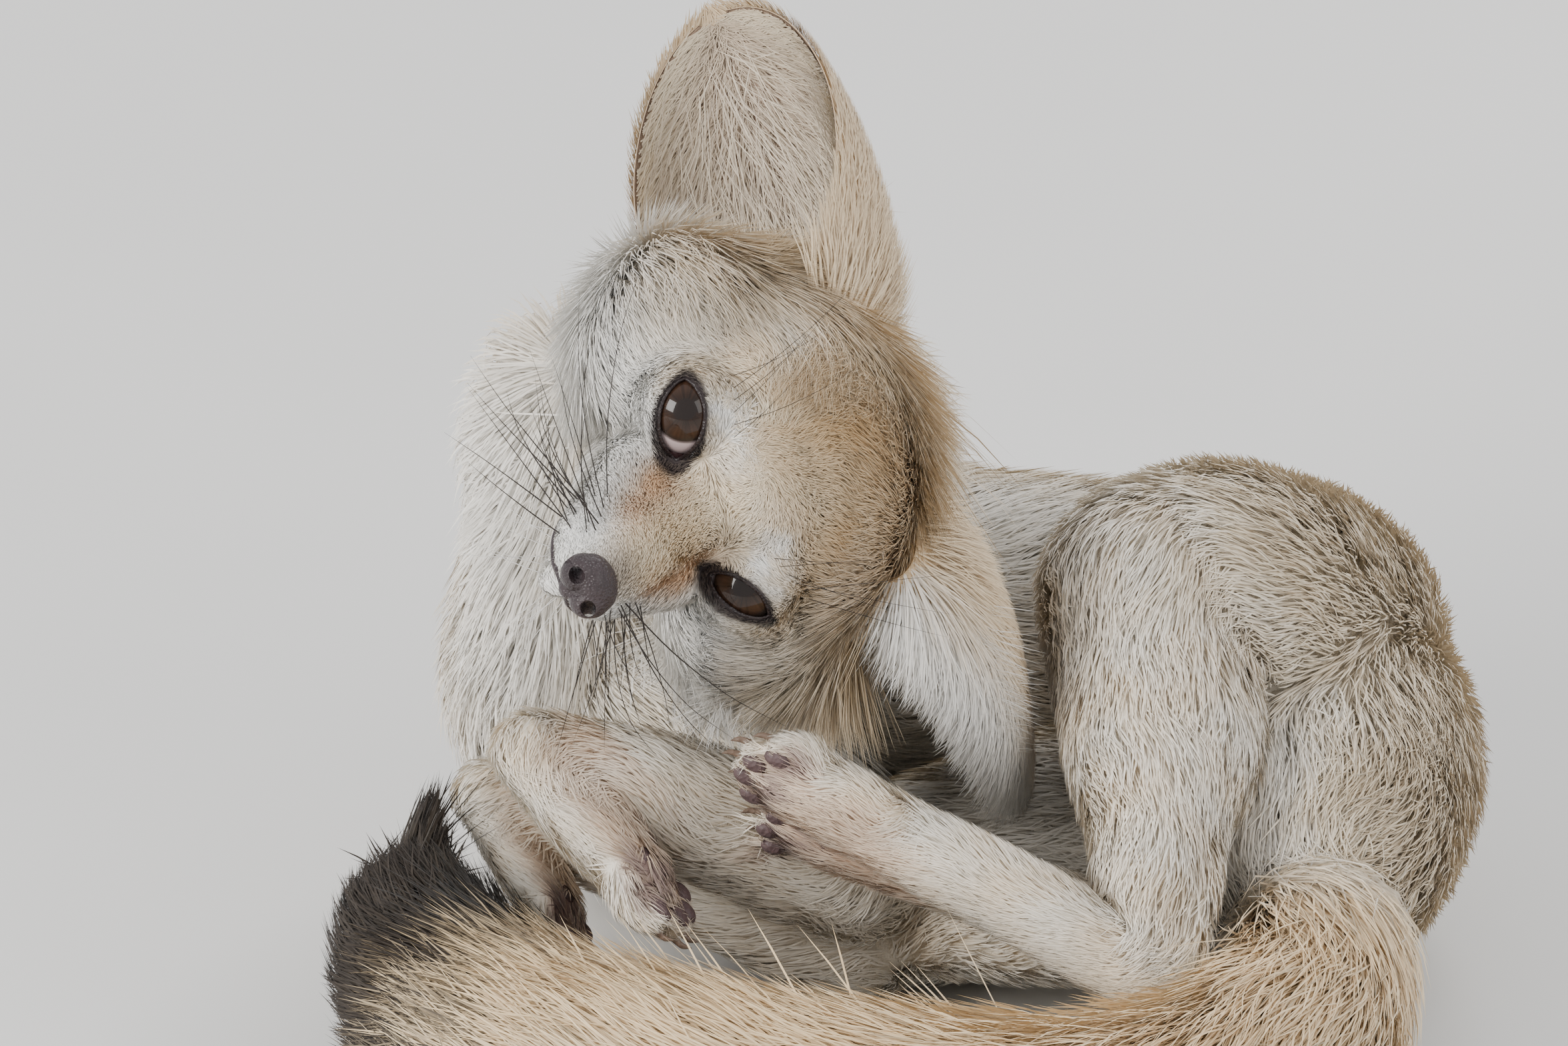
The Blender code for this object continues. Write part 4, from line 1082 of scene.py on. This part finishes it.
def join(shapes):
    verts, faces = [], []
    for some, more in shapes:
        base = len(verts)
        verts += [list(v) for v in some]
        faces += [tuple(i + base for i in f) for f in more]
    return verts, faces


def eye_material():
    """The painted iris under a wet coat."""
    made, tree, shader = material("eye", 0.25, Coat_Weight=1.0, Coat_Roughness=0.02, Coat_IOR=1.38,
                                  Specular_IOR_Level=0.05)
    marks = tree.nodes.new("ShaderNodeAttribute")
    marks.attribute_name = "tint"
    tree.links.new(marks.outputs["Color"], shader.inputs["Base Color"])
    return made


EYE_FOLD = (4.2, 3.4, 2.8)    # the radii of the moist fold in the inner corner


def build_eyes(gloss, rim, flesh):
    for side, name in ((RIGHT, "right"), (LEFT, "left")):
        lids = LIDS[side]
        corners, faces = unit_ball(80, 60)
        faces = faces[:, ::-side]
        x, z, y = corners.T
        bulge = EYE_RADIUS * (1 + 0.045 * np.exp(-((1 - y) / 0.16) ** 2))
        ball = np.stack([x, y, z], 1) * bulge[:, None]
        obj = make("eyeball_" + name, lids.world(ball), faces, gloss, "eye")
        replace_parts(obj, "eye_" + name)
        paint(obj, iris_tint(x, y, z))
        make("lid_rim_" + name, *lid_rim(lids, side), rim, "face")
        fold = ball / EYE_RADIUS * EYE_FOLD + (0.45 - lids.reach[0], -2.4, -1.2)
        make("eye_corner_" + name, lids.world(fold), faces, flesh, "face")


def iris_tint(x, y, z):
    """Dark brown, hardly darker in the pupil, with a black edge and a pinkish inner corner."""
    off = np.hypot(x, z)
    turn = np.arctan2(z, x)
    streak = 0.5 + 0.5 * np.sin(turn * 37 + 3 * np.sin(turn * 5)) * np.sin(turn * 61 + 1)
    iris = np.array((0.034, 0.017, 0.010))[None] * (0.6 + 0.8 * streak[:, None])
    iris *= np.clip((off - 0.12) / 0.35, 0.5, 1)[:, None]
    tint = blend(iris, BLACK, np.clip((off - 0.62) / 0.08, 0, 1))
    white = np.clip((off - 0.735) / 0.03, 0, 1) * np.clip((-x - 0.3) / 0.2, 0, 1)
    tint = blend(tint, (0.50, 0.40, 0.40), white)
    pupil = np.hypot(x * 0.9 - z * 0.44, (x * 0.44 + z * 0.9) * 0.75) < 0.22
    tint[pupil | (y < -0.2)] = (0.014, 0.009, 0.007)
    return tint


RIM = ((0.35, -1.7), (-0.05, -1.3), (-0.20, -0.9), (-0.16, -0.5), (0.06, -0.18), (0.40, -0.02),
       (0.80, -0.06), (1.15, -0.5))    # its section: beyond the margin, and above the lids' level


def lid_rim(lids, side):
    """The moist margin of the lids."""
    turns = 2 * math.pi * np.arange(LID_TURNS) / LID_TURNS
    edge = lids.edge(turns)
    spots = []
    for beyond, above in RIM:
        x, z = lids.off_middle(edge + beyond, turns)
        level = lids.height(x, z, np.zeros_like(x), turns, 0.0)
        spots.append(np.stack([x, level + above, z], 1))
    faces = []
    for i in range(len(RIM) - 1):
        for k in range(LID_TURNS):
            a, b = i * LID_TURNS + k, i * LID_TURNS + (k + 1) % LID_TURNS
            faces.append((a, b, b + LID_TURNS, a + LID_TURNS)[::side])
    return lids.world(np.concatenate(spots)), faces


def nose_holes():
    """Cutters for the nostrils and the groove below them."""
    cuts = [([(side * 3.0, 46, -12.4), (side * 3.9, 42, -13.2), (side * 6.6, 39.5, -15.2)],
             (1.75, 1.5, 0.9)) for side in (RIGHT, LEFT)]
    cuts.append(([(0, 46.0, -14.0), (0, 44.3, -17.0), (0, 42.0, -20.5)], (0.5, 0.5, 0.45)))
    holes = []
    for points, radii in cuts:
        hole = poured("hole", head_limb(points, radii).shapes(0))
        remeshed(hole, 0.2)
        hole.hide_render = True
        holes.append(hole)
    return holes


NOSE_BALLS = ((0, 38.6, -11.8, (6.0, 4.9, 4.2)), (2.8, 39.4, -13.4, (3.8, 4.5, 4.3)),
              (-2.8, 39.4, -13.4, (3.8, 4.5, 4.3)), (0, 37.6, -16.6, (2.6, 3.6, 3.2)))


def build_nose(moist):
    holes = nose_holes()
    shapes = [shape for ball in NOSE_BALLS for shape in head_ball(*ball).shapes(0)]
    spots, faces = fused(shapes, 0.22, 3, holes)
    for hole in holes:
        bpy.data.objects.remove(hole)
    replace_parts(make("nose_pad", spots, faces, moist, "nose"), "nose")


MOUTH = ((13.5, 6, -19), (11.5, 17, -21.5), (8, 28, -21.5), (4.5, 34, -21.5), (0, 36.5, -20.0))


def build_mouth(moist, surface):
    """The dark line of the lips, laid on the skin."""
    path = [(-x, y, z) for x, y, z in MOUTH[:-1]] + [MOUTH[-1]] + list(MOUTH[:-1])[::-1]
    spots = []
    for spot in smooth_path([on_head(*p) for p in path], [1] * len(path), 6)[0]:
        near, normal = surface.find_nearest(spot)[:2]
        spots.append(near + normal * 0.1)
    radii = [0.35 + 0.5 * math.sin(math.pi * i / (len(spots) - 1)) ** 0.5 for i in range(len(spots))]
    verts, faces = tube(spots[::2], radii[::2])
    make("lip_line", verts, faces, moist, "nose")


def hair(root, way, droop, length, thick):
    """One whisker from a place on the head, with its heading and droop in the head's axes."""
    root, way, droop = on_head(*root), HEAD_TURN @ Vector(way).normalized(), HEAD_TURN @ Vector(droop)
    points = [root, root + way * length * 0.35 + droop * length * 0.05,
              root + way * length * 0.7 + droop * length * 0.20,
              root + way * length + droop * length * 0.45]
    return tube(points, (thick, thick * 0.85, thick * 0.55, thick * 0.12), sides=4)


def whiskers(dark, pale):
    """Long curved hairs of the muzzle, fine ones over the eyes, and pale ones at the chin."""
    draw = np.random.default_rng(23)
    black, white = [], []
    for side in (RIGHT, LEFT):
        for row in range(4):
            for k in range(5):
                root = (side * (8.0 + 0.5 * k - 0.3 * row), 30 - 2.3 * k, -12.0 - 2.0 * row)
                way = (side, draw.uniform(-0.25, 0.45) - 0.06 * k,
                       draw.uniform(-0.45, 0.35) - 0.12 * row)
                droop = (0, draw.uniform(-1.0, -0.3), draw.uniform(-0.5, 0.6))
                black.append(hair(root, way, droop, draw.uniform(20, 48) * (1 - 0.08 * row), 0.17))
        for k in range(6):
            way = (side * draw.uniform(0.0, 0.6), draw.uniform(-0.2, 0.3), 1.0)
            black.append(hair((side * (13 + 2.2 * k), 3 - k, 10.5 + 0.4 * k), way, (side * 0.3, -0.8, 0),
                              draw.uniform(20, 36), 0.08))
        for k in range(6):
            way = (side * draw.uniform(0.3, 0.9), draw.uniform(-0.2, 0.5), -1.0)
            white.append(hair((side * (2 + 0.9 * k), 31 - 2.6 * k, -25.5), way, (0, -0.7, 0),
                              draw.uniform(12, 24), 0.10))
    make("whiskers", *join(black), dark, "nose")
    make("whiskers_chin", *join(white), pale, "face")


def feet_details(pad, horn):
    """Toe and sole pads, and a short claw at each toe."""
    pads, claws = [], []
    for foot in FEET:
        along, up, width, thick = foot.along, foot.up, foot.width, foot.thick
        for spread, reach in TOES:
            tip = foot.tip(spread, reach)
            pads.append(Ball(tip - up * thick * 0.14, (thick * 0.13, thick * 0.18, thick * 0.10),
                             foot.turn))
            root = tip + along * thick * 0.16 + up * thick * 0.08
            claws.append(tube([root, root + along * 2.2 - up * 0.3, root + along * 3.8 - up * 1.5],
                              (0.85, 0.62, 0.12), sides=8))
        middle = foot.start + along * foot.length * 0.66 - up * thick * 0.29
        for k in (-1, 0, 1):
            pads.append(Ball(middle + foot.across * width * 0.10 * k - along * abs(k) * 1.8,
                             (width * 0.09, thick * 0.19, thick * 0.10), foot.turn))
    spots, faces = fused([shape for ball in pads for shape in ball.shapes(0)], 0.5, 3)
    make("pads", spots, faces, pad, "foot")
    make("claws", *join(claws), horn, "foot")


# Ears

EAR_LENGTH = 90.0
EAR_WIDTH = 50.0
EAR_LIE = {    # along the ear, and out of its mouth
    RIGHT: (Vector((-0.11, 0.92, 0.375)), Vector((-0.547, -0.36, 0.756))),
    LEFT: (Vector((0.353, 0.488, -0.798)), Vector((-0.88, -0.12, -0.46))),
}
EAR_ROOT = {RIGHT: (25, -27, 10), LEFT: (-22, -27, 15)}    # in the head's axes
EAR_BASE = {RIGHT: 0.68, LEFT: 0.5}     # how wide the root is, as a share of the widest
EAR_DEPTH = {RIGHT: 0.9, LEFT: 0.55}    # how deep the cup is, as a share of a round one's depth


def ear_profile(s, base):
    """How wide the ear is along it, as a share of its widest."""
    rise = base + (1 - base) * np.sin(np.minimum(s / 0.45, 1.0) * math.pi / 2)
    fall = np.sqrt(np.clip(1 - np.clip((s - 0.42) / 0.585, 0, None) ** 2.2, 0, None))
    return rise * np.maximum(fall, 0.05)


def ear_surface(side, s, t):
    """Spots on the ear's middle sheet, for s along it and t across it from -1 to 1."""
    base = on_head(*EAR_ROOT[side])
    along, mouth = (v.normalized() for v in EAR_LIE[side])
    mouth = (mouth - along * mouth.dot(along)).normalized()
    crownward = along.cross(mouth) * side
    width = EAR_WIDTH / 2 * ear_profile(s, EAR_BASE[side])
    curl = np.radians(140 - 72 * s)
    radius = width / np.sin(np.minimum(curl, math.pi / 2))
    across = radius * np.sin(curl * t)
    depth = -radius * (np.cos(curl * t) - np.cos(curl))
    pouch = 5.0 * np.clip(-t - 0.4, 0, None) * np.exp(-((s - 0.2) / 0.13) ** 2)
    return (np.array(base) + np.outer(EAR_LENGTH * s, along) + np.outer(across - pouch, crownward)
            + np.outer(depth * EAR_DEPTH[side] + pouch, mouth))


def sheet_faces(rows, columns):
    """Two layers of quads, with walls between them round the rim."""
    quads = []
    for i in range(rows - 1):
        for j in range(columns - 1):
            a = i * columns + j
            quads.append((a, a + 1, a + columns + 1, a + columns))
    quads = np.array(quads)
    count = rows * columns
    rim = [i * columns for i in range(rows)]
    rim += [(rows - 1) * columns + j for j in range(1, columns)]
    rim += [i * columns + columns - 1 for i in range(rows - 2, -1, -1)]
    rim += [j for j in range(columns - 2, 0, -1)]
    walls = [(a, b, b + count, a + count) for a, b in zip(rim, rim[1:] + rim[:1])]
    return np.concatenate([quads[:, ::-1], quads + count, np.array(walls)])


def build_ear(side, name, hide, fur):
    """A thin cupped sheet, thinner at its edges, with low ridges inside."""
    rows, columns = 70, 56
    s, t = np.meshgrid(np.linspace(0, 1, rows), np.linspace(-1, 1, columns), indexing="ij")
    s, t = s.ravel(), t.ravel()
    sheet = ear_surface(side, s, t)
    normal = ear_normals(side, s, t)[0]
    ridge = 0.25 * np.sin(t * 26) * np.exp(-((s - 0.25) / 0.22) ** 2)
    wall = 0.55 * np.clip(1.02 - np.abs(t) ** 6, 0.25, 1)
    inner = sheet + normal * (wall + ridge)[:, None]
    outer = sheet - normal * wall[:, None]
    obj = make("ear_skin_" + name, np.concatenate([inner, outer]), sheet_faces(rows, columns),
               hide, "ear")
    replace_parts(obj, "ear_" + name)
    # Painted shade: the inside's skin darkens to umber towards the root, where the cup is deepest.
    inside = blend(plain(EAR_SKIN_SHADED, len(s)), UMBER, 0.5 * np.exp(-(s / 0.3) ** 2))
    behind = blend(plain(BUFF, len(s)), SAND, 0.5 * s)
    paint(obj, np.concatenate([inside, behind]))
    ear_coat(side, name, fur)


def ear_normals(side, s, t):
    """The directions out of the ear's inside, along it and across it."""
    step = 0.01
    ds = ear_surface(side, np.clip(s + step, 0, 1), t) - ear_surface(side, np.clip(s - step, 0, 1), t)
    dt = ear_surface(side, s, np.clip(t + step, -1, 1)) - ear_surface(side, s, np.clip(t - step, -1, 1))
    normal = unit(np.cross(ds, dt))
    mouth = np.array(EAR_LIE[side][1].normalized())
    # A fault that is left in: the fringe and the margins have no spots near the middle, so this mean
    # is of nothing, their directions are not numbers, and those three pieces show no hair.
    flip = np.sign((normal[np.abs(t) < 0.15] @ mouth).mean())
    return normal * flip, unit(ds), unit(dt)


def ear_blades(label, side, fur, draw, s, t, out, lie, length, rise, width, root_tint, tip_tint,
               spread):
    """Hairs on the ear's inside (out = 1) or back (out = -1). lie is along it, across it and away."""
    count = len(s)
    normal, ds, dt = ear_normals(side, s, t)
    normal = normal * out
    roots = ear_surface(side, s, t) + normal * 0.5
    way = unit(ds * lie[0] + dt * np.reshape(lie[1], (-1, 1)) + normal * lie[2])
    angle = draw.normal(0, spread, count)
    way = way * np.cos(angle)[:, None] + np.cross(normal, way) * np.sin(angle)[:, None]
    reach = length * draw.uniform(0.6, 1.2, count)
    height = rise * draw.uniform(0.4, 1.2, count)
    tips = roots + way * reach[:, None] + normal * height[:, None]
    middle = roots * 0.5 + tips * 0.5 + normal * (height * 0.35)[:, None]
    across = unit(np.cross(tips - roots, normal)) * width / 2
    spots = np.stack([roots - across, roots + across, middle - across * 0.8, middle + across * 0.8,
                      tips], 1)
    obj = make(label, spots.reshape(-1, 3), blade_faces(count, 2), fur, "ear")
    paint_blades(obj, root_tint, tip_tint, 5, draw)
    facing = unit(normal + 0.4 * unit(np.cross(across, way)))
    obj.data.normals_split_custom_set_from_vertices(np.repeat(facing, 5, 0))
    bake_map(obj, np.stack([s, (t + 1) / 2], 1), 5)


def ear_back(side, draw, count):
    """Short fur, white towards one margin of the left ear."""
    s, t = draw.uniform(0, 1, count) ** 0.85, draw.uniform(-1, 1, count)
    white = ease((t - 0.3) / 0.4) * (side == LEFT)
    root = blend(blend(plain(BUFF, count), CREAM, 0.35), WHITE, white)
    return dict(s=s, t=t, out=-1, lie=(1, 0.35 * t + 0.5 * white, 0.1),
                length=5.0 + 10 * np.exp(-(s / 0.18) ** 2) + 5 * white,
                rise=0.8 + 3.0 * np.exp(-(s / 0.2) ** 2), width=0.38, root_tint=root,
                tip_tint=blend(root, SAND, (0.3 + 0.5 * s) * (1 - white)), spread=0.18)


def ear_fringe(side, draw, count):
    """Meant as long white hairs behind the same margin. They don't show: see ear_normals."""
    s, t = draw.uniform(0.0, 0.88, count), draw.uniform(0.65, 1.0, count)
    white = plain(WHITE, count)
    return dict(s=s, t=t, out=-1, lie=(0.75, 1.0, 0.1), length=24 - 12 * s, rise=2.0, width=0.36,
                root_tint=blend(white, CREAM, 0.3), tip_tint=white, spread=0.28)


def ear_inside(side, draw, count):
    """Dense soft hair, thicker and paler towards the margins; the right ear's is darker, as painted
    shade.
    """
    edge = draw.beta(1.0, 1.35, count)
    t = (1 - edge) * np.where(draw.random(count) < 0.5, -1, 1)
    s = draw.uniform(0.0, 0.99, count)
    margin = np.abs(t) ** 3
    # Painted shade: the right ear's hair is cream rather than white, and takes more of the shaded skin
    # tone the nearer it is to the tip.
    inner = plain(WHITE if side == LEFT else CREAM, count)
    deep = np.clip(1.1 - 1.3 * margin, 0, 1) * (0.35 if side == LEFT else 0.55 + 0.3 * s)
    return dict(s=s, t=t, out=1, lie=(1, -np.sign(t) * (0.25 + 0.3 * draw.random(count)), 0.12),
                length=(8.0 + 6 * margin) * np.clip(1.4 - s, 0.45, 1), rise=1.2 + 2.0 * margin * (1 - s),
                width=0.34, root_tint=blend(inner, EAR_SKIN_SHADED, 0.25 + 0.6 * deep),
                tip_tint=blend(inner, EAR_SKIN_SHADED, 0.7 * deep), spread=0.25)


def ear_streams(side, draw, count):
    """Long hairs that rise from the ear's base."""
    s, t = draw.beta(1.2, 3.4, count), draw.uniform(-1, 1, count)
    inner = plain(WHITE, count)
    # Painted shade: the right ear's streams are cream mixed with the shaded skin tone; the left ear's
    # are white.
    if side == RIGHT:
        inner = blend(plain(CREAM, count), EAR_SKIN_SHADED, 0.2 + 0.5 * draw.random(count))
    return dict(s=s, t=t, out=1, lie=(1, -0.25 * t, 0.25), length=26 - 14 * s, rise=3.2, width=0.32,
                root_tint=inner, tip_tint=blend(inner, WHITE, 0.15), spread=0.22)


def ear_margin(side, draw, count):
    """Meant as hairs that stand out along both margins. They don't show: see ear_normals."""
    s = draw.uniform(0.03, 0.97, count)
    t = np.where(draw.random(count) < 0.5, -1, 1) * draw.uniform(0.88, 1.0, count)
    # Painted shade: the right ear's margin hairs are cream, the left ear's white.
    pale = plain(WHITE if side == LEFT else CREAM, count)
    return dict(s=s, t=t, out=1, lie=(1, 0.5 * np.sign(t), 0.25), length=5.0 + 7 * np.clip(1 - s, 0, 1),
                rise=1.0, width=0.36, root_tint=pale, tip_tint=blend(pale, WHITE, 0.5), spread=0.25)


EAR_COAT = (    # name, how many blades, and how they grow
    ("back", 14000, ear_back),
    ("fringe", 6000, ear_fringe),
    ("inside", 10500, ear_inside),
    ("streams", 4500, ear_streams),
    ("margin", 2600, ear_margin),
)


def ear_coat(side, name, fur):
    """Only the left ear has a piece for the fringe."""
    draw = np.random.default_rng(31 + side)
    for label, count, grown in EAR_COAT:
        if label == "fringe" and side == RIGHT:
            continue
        hairs = grown(side, draw, count)
        ear_blades("coat_ear_%s_%s" % (label, name), side, fur, draw, **hairs)


# The coat

GROUPS = {    # how many blades, rings in each, how widely they stray, hairs to a clump, pull, dark
    "head": (84000, 2, 0.20, 6, 0.20, 0.04),
    "neck": (36000, 3, 0.24, 9, 0.28, 0.03),
    "trunk": (48000, 3, 0.22, 9, 0.28, 0.05),
    "legs": (48000, 3, 0.18, 8, 0.26, 0.02),
    "feet": (32000, 2, 0.18, 6, 0.20, 0.01),
    "tail": (37000, 4, 0.20, 11, 0.34, 0.08),
}
MOST = 190000    # triangles in one piece


def build_coat(skin, parts, fur):
    """Grows each group's blades, in pieces that follow one another along its parts."""
    coat = skin.coat
    owner_group = np.array([list(GROUPS).index(part.group) for part in parts])[coat.owner]
    growing = coat.share * haired(skin)
    for number, (group, (count, *habit)) in enumerate(GROUPS.items()):
        which, bary = skin.draw(growing * (owner_group == number), count)
        roots, normals, lie, *rest = (
            skin.at(field, which, bary) for field in (
                skin.spots, skin.normals, coat.lie, coat.length, coat.rise, coat.width, coat.root,
                coat.tip))
        normals = unit(normals)
        fields = (roots, normals, laid_flat(lie, normals), *rest)
        corners = 2 * habit[0] + 1
        tiles = [(i, part) for i, part in enumerate(parts) if part.group == group]
        chart = charted(roots, coat.owner[skin.triangles[which, 0]], tiles)
        pieces = math.ceil(count * (corners - 2) / MOST)
        for k, mine in enumerate(np.array_split(np.argsort(chart[:, 0], kind="stable"), pieces)):
            obj = blades("coat_%s_%d" % (group, k + 1), *(field[mine] for field in fields), skin, fur,
                         "face" if group == "head" else "coat", *habit, 100 + k)
            bake_map(obj, chart[mine], corners)


def charted(roots, owner, tiles):
    """Places on an unwrap that has one tile for each part, wound round the part's own line."""
    found = np.zeros((len(roots), 2))
    side = math.ceil(math.sqrt(len(tiles)))
    for number, (index, part) in enumerate(tiles):
        mine = owner == index
        if not mine.any():
            continue
        limbs = [form for form in part.forms if isinstance(form, Limb)]
        spots = HEAD_LINE if part.name == "head" else limbs[-1 if "foot" in part.name else 0].spots
        along, turn = Line(spots).chart(roots[mine])
        found[mine, 0] = (number % side + 0.02 + 0.96 * along) / side
        found[mine, 1] = (number // side + 0.02 + 0.96 * turn) / side
    return found


HEAD_LINE = [on_head(0, y, -6 - 0.2 * max(y, 0)) for y in range(-54, 44, 4)]


def haired(skin):
    """0 where no hair grows: in and under the lids, and on the nose."""
    nose = np.linalg.norm((to_head(skin.spots) - np.array((0, 39.5, -13.6)))
                          / np.array((6.6, 5.4, 6.8)), axis=1)
    return (1 - skin.bald) * (nose > 1)


# Studio

LIGHTS = (    # name, place, size, power, colour
    ("key", (-1.3, -1.0, 0.95), (0.9, 0.9), 38, (1.0, 0.98, 0.95)),
    ("fill", (1.1, -0.9, 0.9), (1.0, 1.0), 9, (1.0, 0.97, 0.93)),
    ("rim", (0.5, 1.2, 1.1), (0.9, 0.6), 14, (1, 1, 1)),
)
LIT = Vector((0, 0, 0.1))    # what all of them are aimed at


def area_light(name, at, size, power, colour):
    data = bpy.data.lights.new(name, 'AREA')
    data.shape = 'RECTANGLE'
    data.size, data.size_y = size
    data.energy = power
    data.color = colour
    light = bpy.data.objects.new(name, data)
    light.location = at
    light.rotation_euler = (LIT - Vector(at)).to_track_quat('-Z', 'Y').to_euler()
    bpy.context.scene.collection.objects.link(light)


def studio():
    mesh = bpy.data.meshes.new("floor")
    fill_mesh(mesh, [(-3, -3, 0), (3, -3, 0), (3, 3, 0), (-3, 3, 0)], [(0, 1, 2, 3)])
    floor = bpy.data.objects.new("floor", mesh)
    bpy.context.scene.collection.objects.link(floor)
    made, tree, shader = material("floor", 0.8)
    mottle(tree, shader, 60, (0.70, 0.69, 0.67), (0.74, 0.73, 0.71))
    mesh.materials.append(made)
    world = bpy.data.worlds.new("studio")
    world.use_nodes = True
    sky = world.node_tree.nodes["Background"]
    sky.inputs["Color"].default_value = (0.94, 0.96, 1.0, 1)
    sky.inputs["Strength"].default_value = 0.85
    bpy.context.scene.world = world
    for light in LIGHTS:
        area_light(*light)


LENS = 232
TILT = math.radians(25)    # how far the camera looks down
FAR = 2.0                  # metres from the camera to what it looks at
LOOKED_AT = Vector((0, -63.5, 128.8))    # between the eyes, a little to the image's right


def camera():
    """The photograph's view: a long lens, from the front and above."""
    data = bpy.data.cameras.new("camera")
    data.lens = LENS
    data.sensor_width = 36
    data.clip_end = 20
    target = TO_FRAME @ LOOKED_AT
    view = bpy.data.objects.new("camera", data)
    view.location = target + Vector((0, -math.cos(TILT), math.sin(TILT))) * FAR
    view.rotation_euler = (target - view.location).to_track_quat('-Z', 'Y').to_euler()
    bpy.context.scene.collection.objects.link(view)
    bpy.context.scene.camera = view


FLESH = ("head", "neck", "torso", "thigh_left", "shank_left", "hindfoot_left", "thigh_right",
         "shank_right", "hindfoot_right", "upper_arm_left", "forearm_left", "forepaw_left",
         "upper_arm_right", "forearm_right", "forepaw_right", "tail_base", "tail_rear",
         "tail_middle", "tail_fore", "tail_tip")

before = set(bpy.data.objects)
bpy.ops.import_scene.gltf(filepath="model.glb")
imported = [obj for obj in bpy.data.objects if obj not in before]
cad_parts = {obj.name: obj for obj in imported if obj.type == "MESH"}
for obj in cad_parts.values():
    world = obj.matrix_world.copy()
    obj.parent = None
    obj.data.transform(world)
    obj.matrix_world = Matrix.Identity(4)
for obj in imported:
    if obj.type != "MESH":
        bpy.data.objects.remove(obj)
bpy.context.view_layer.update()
TO_FRAME = shifted()


def build():
    fur, hide = fur_material(), skin_material()
    parts = body_parts()
    spots, triangles, bald = skin_mesh(parts)
    coat = Coat(spots, normals_of(spots, triangles), parts)
    skin = Skin(spots, triangles, bald, coat)
    body = make("skin", spots, triangles, hide, "coat")
    paint(body, coat.root * 0.85 + coat.tip * 0.15)
    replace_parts(body, *FLESH)
    build_coat(skin, parts, fur)
    for side, name in ((RIGHT, "right"), (LEFT, "left")):
        build_ear(side, name, hide, fur)
    moist = wet_dark("moist", (0.038, 0.027, 0.029), 0.38, 1700)
    build_eyes(eye_material(), wet_dark("rim", (0.020, 0.013, 0.013), 0.35, 1500),
               wet_dark("corner", (0.20, 0.10, 0.10), 0.3, 1500))
    build_nose(moist)
    build_mouth(moist, skin.tree)
    whiskers(wet_dark("whisker", (0.02, 0.015, 0.012), 0.5, 1000),
             wet_dark("whisker_pale", (0.6, 0.58, 0.55), 0.5, 1000))
    feet_details(wet_dark("pad", (0.10, 0.065, 0.066), 0.6, 1100),
                 wet_dark("claw", (0.16, 0.11, 0.08), 0.35, 900))
    studio()
    camera()


build()
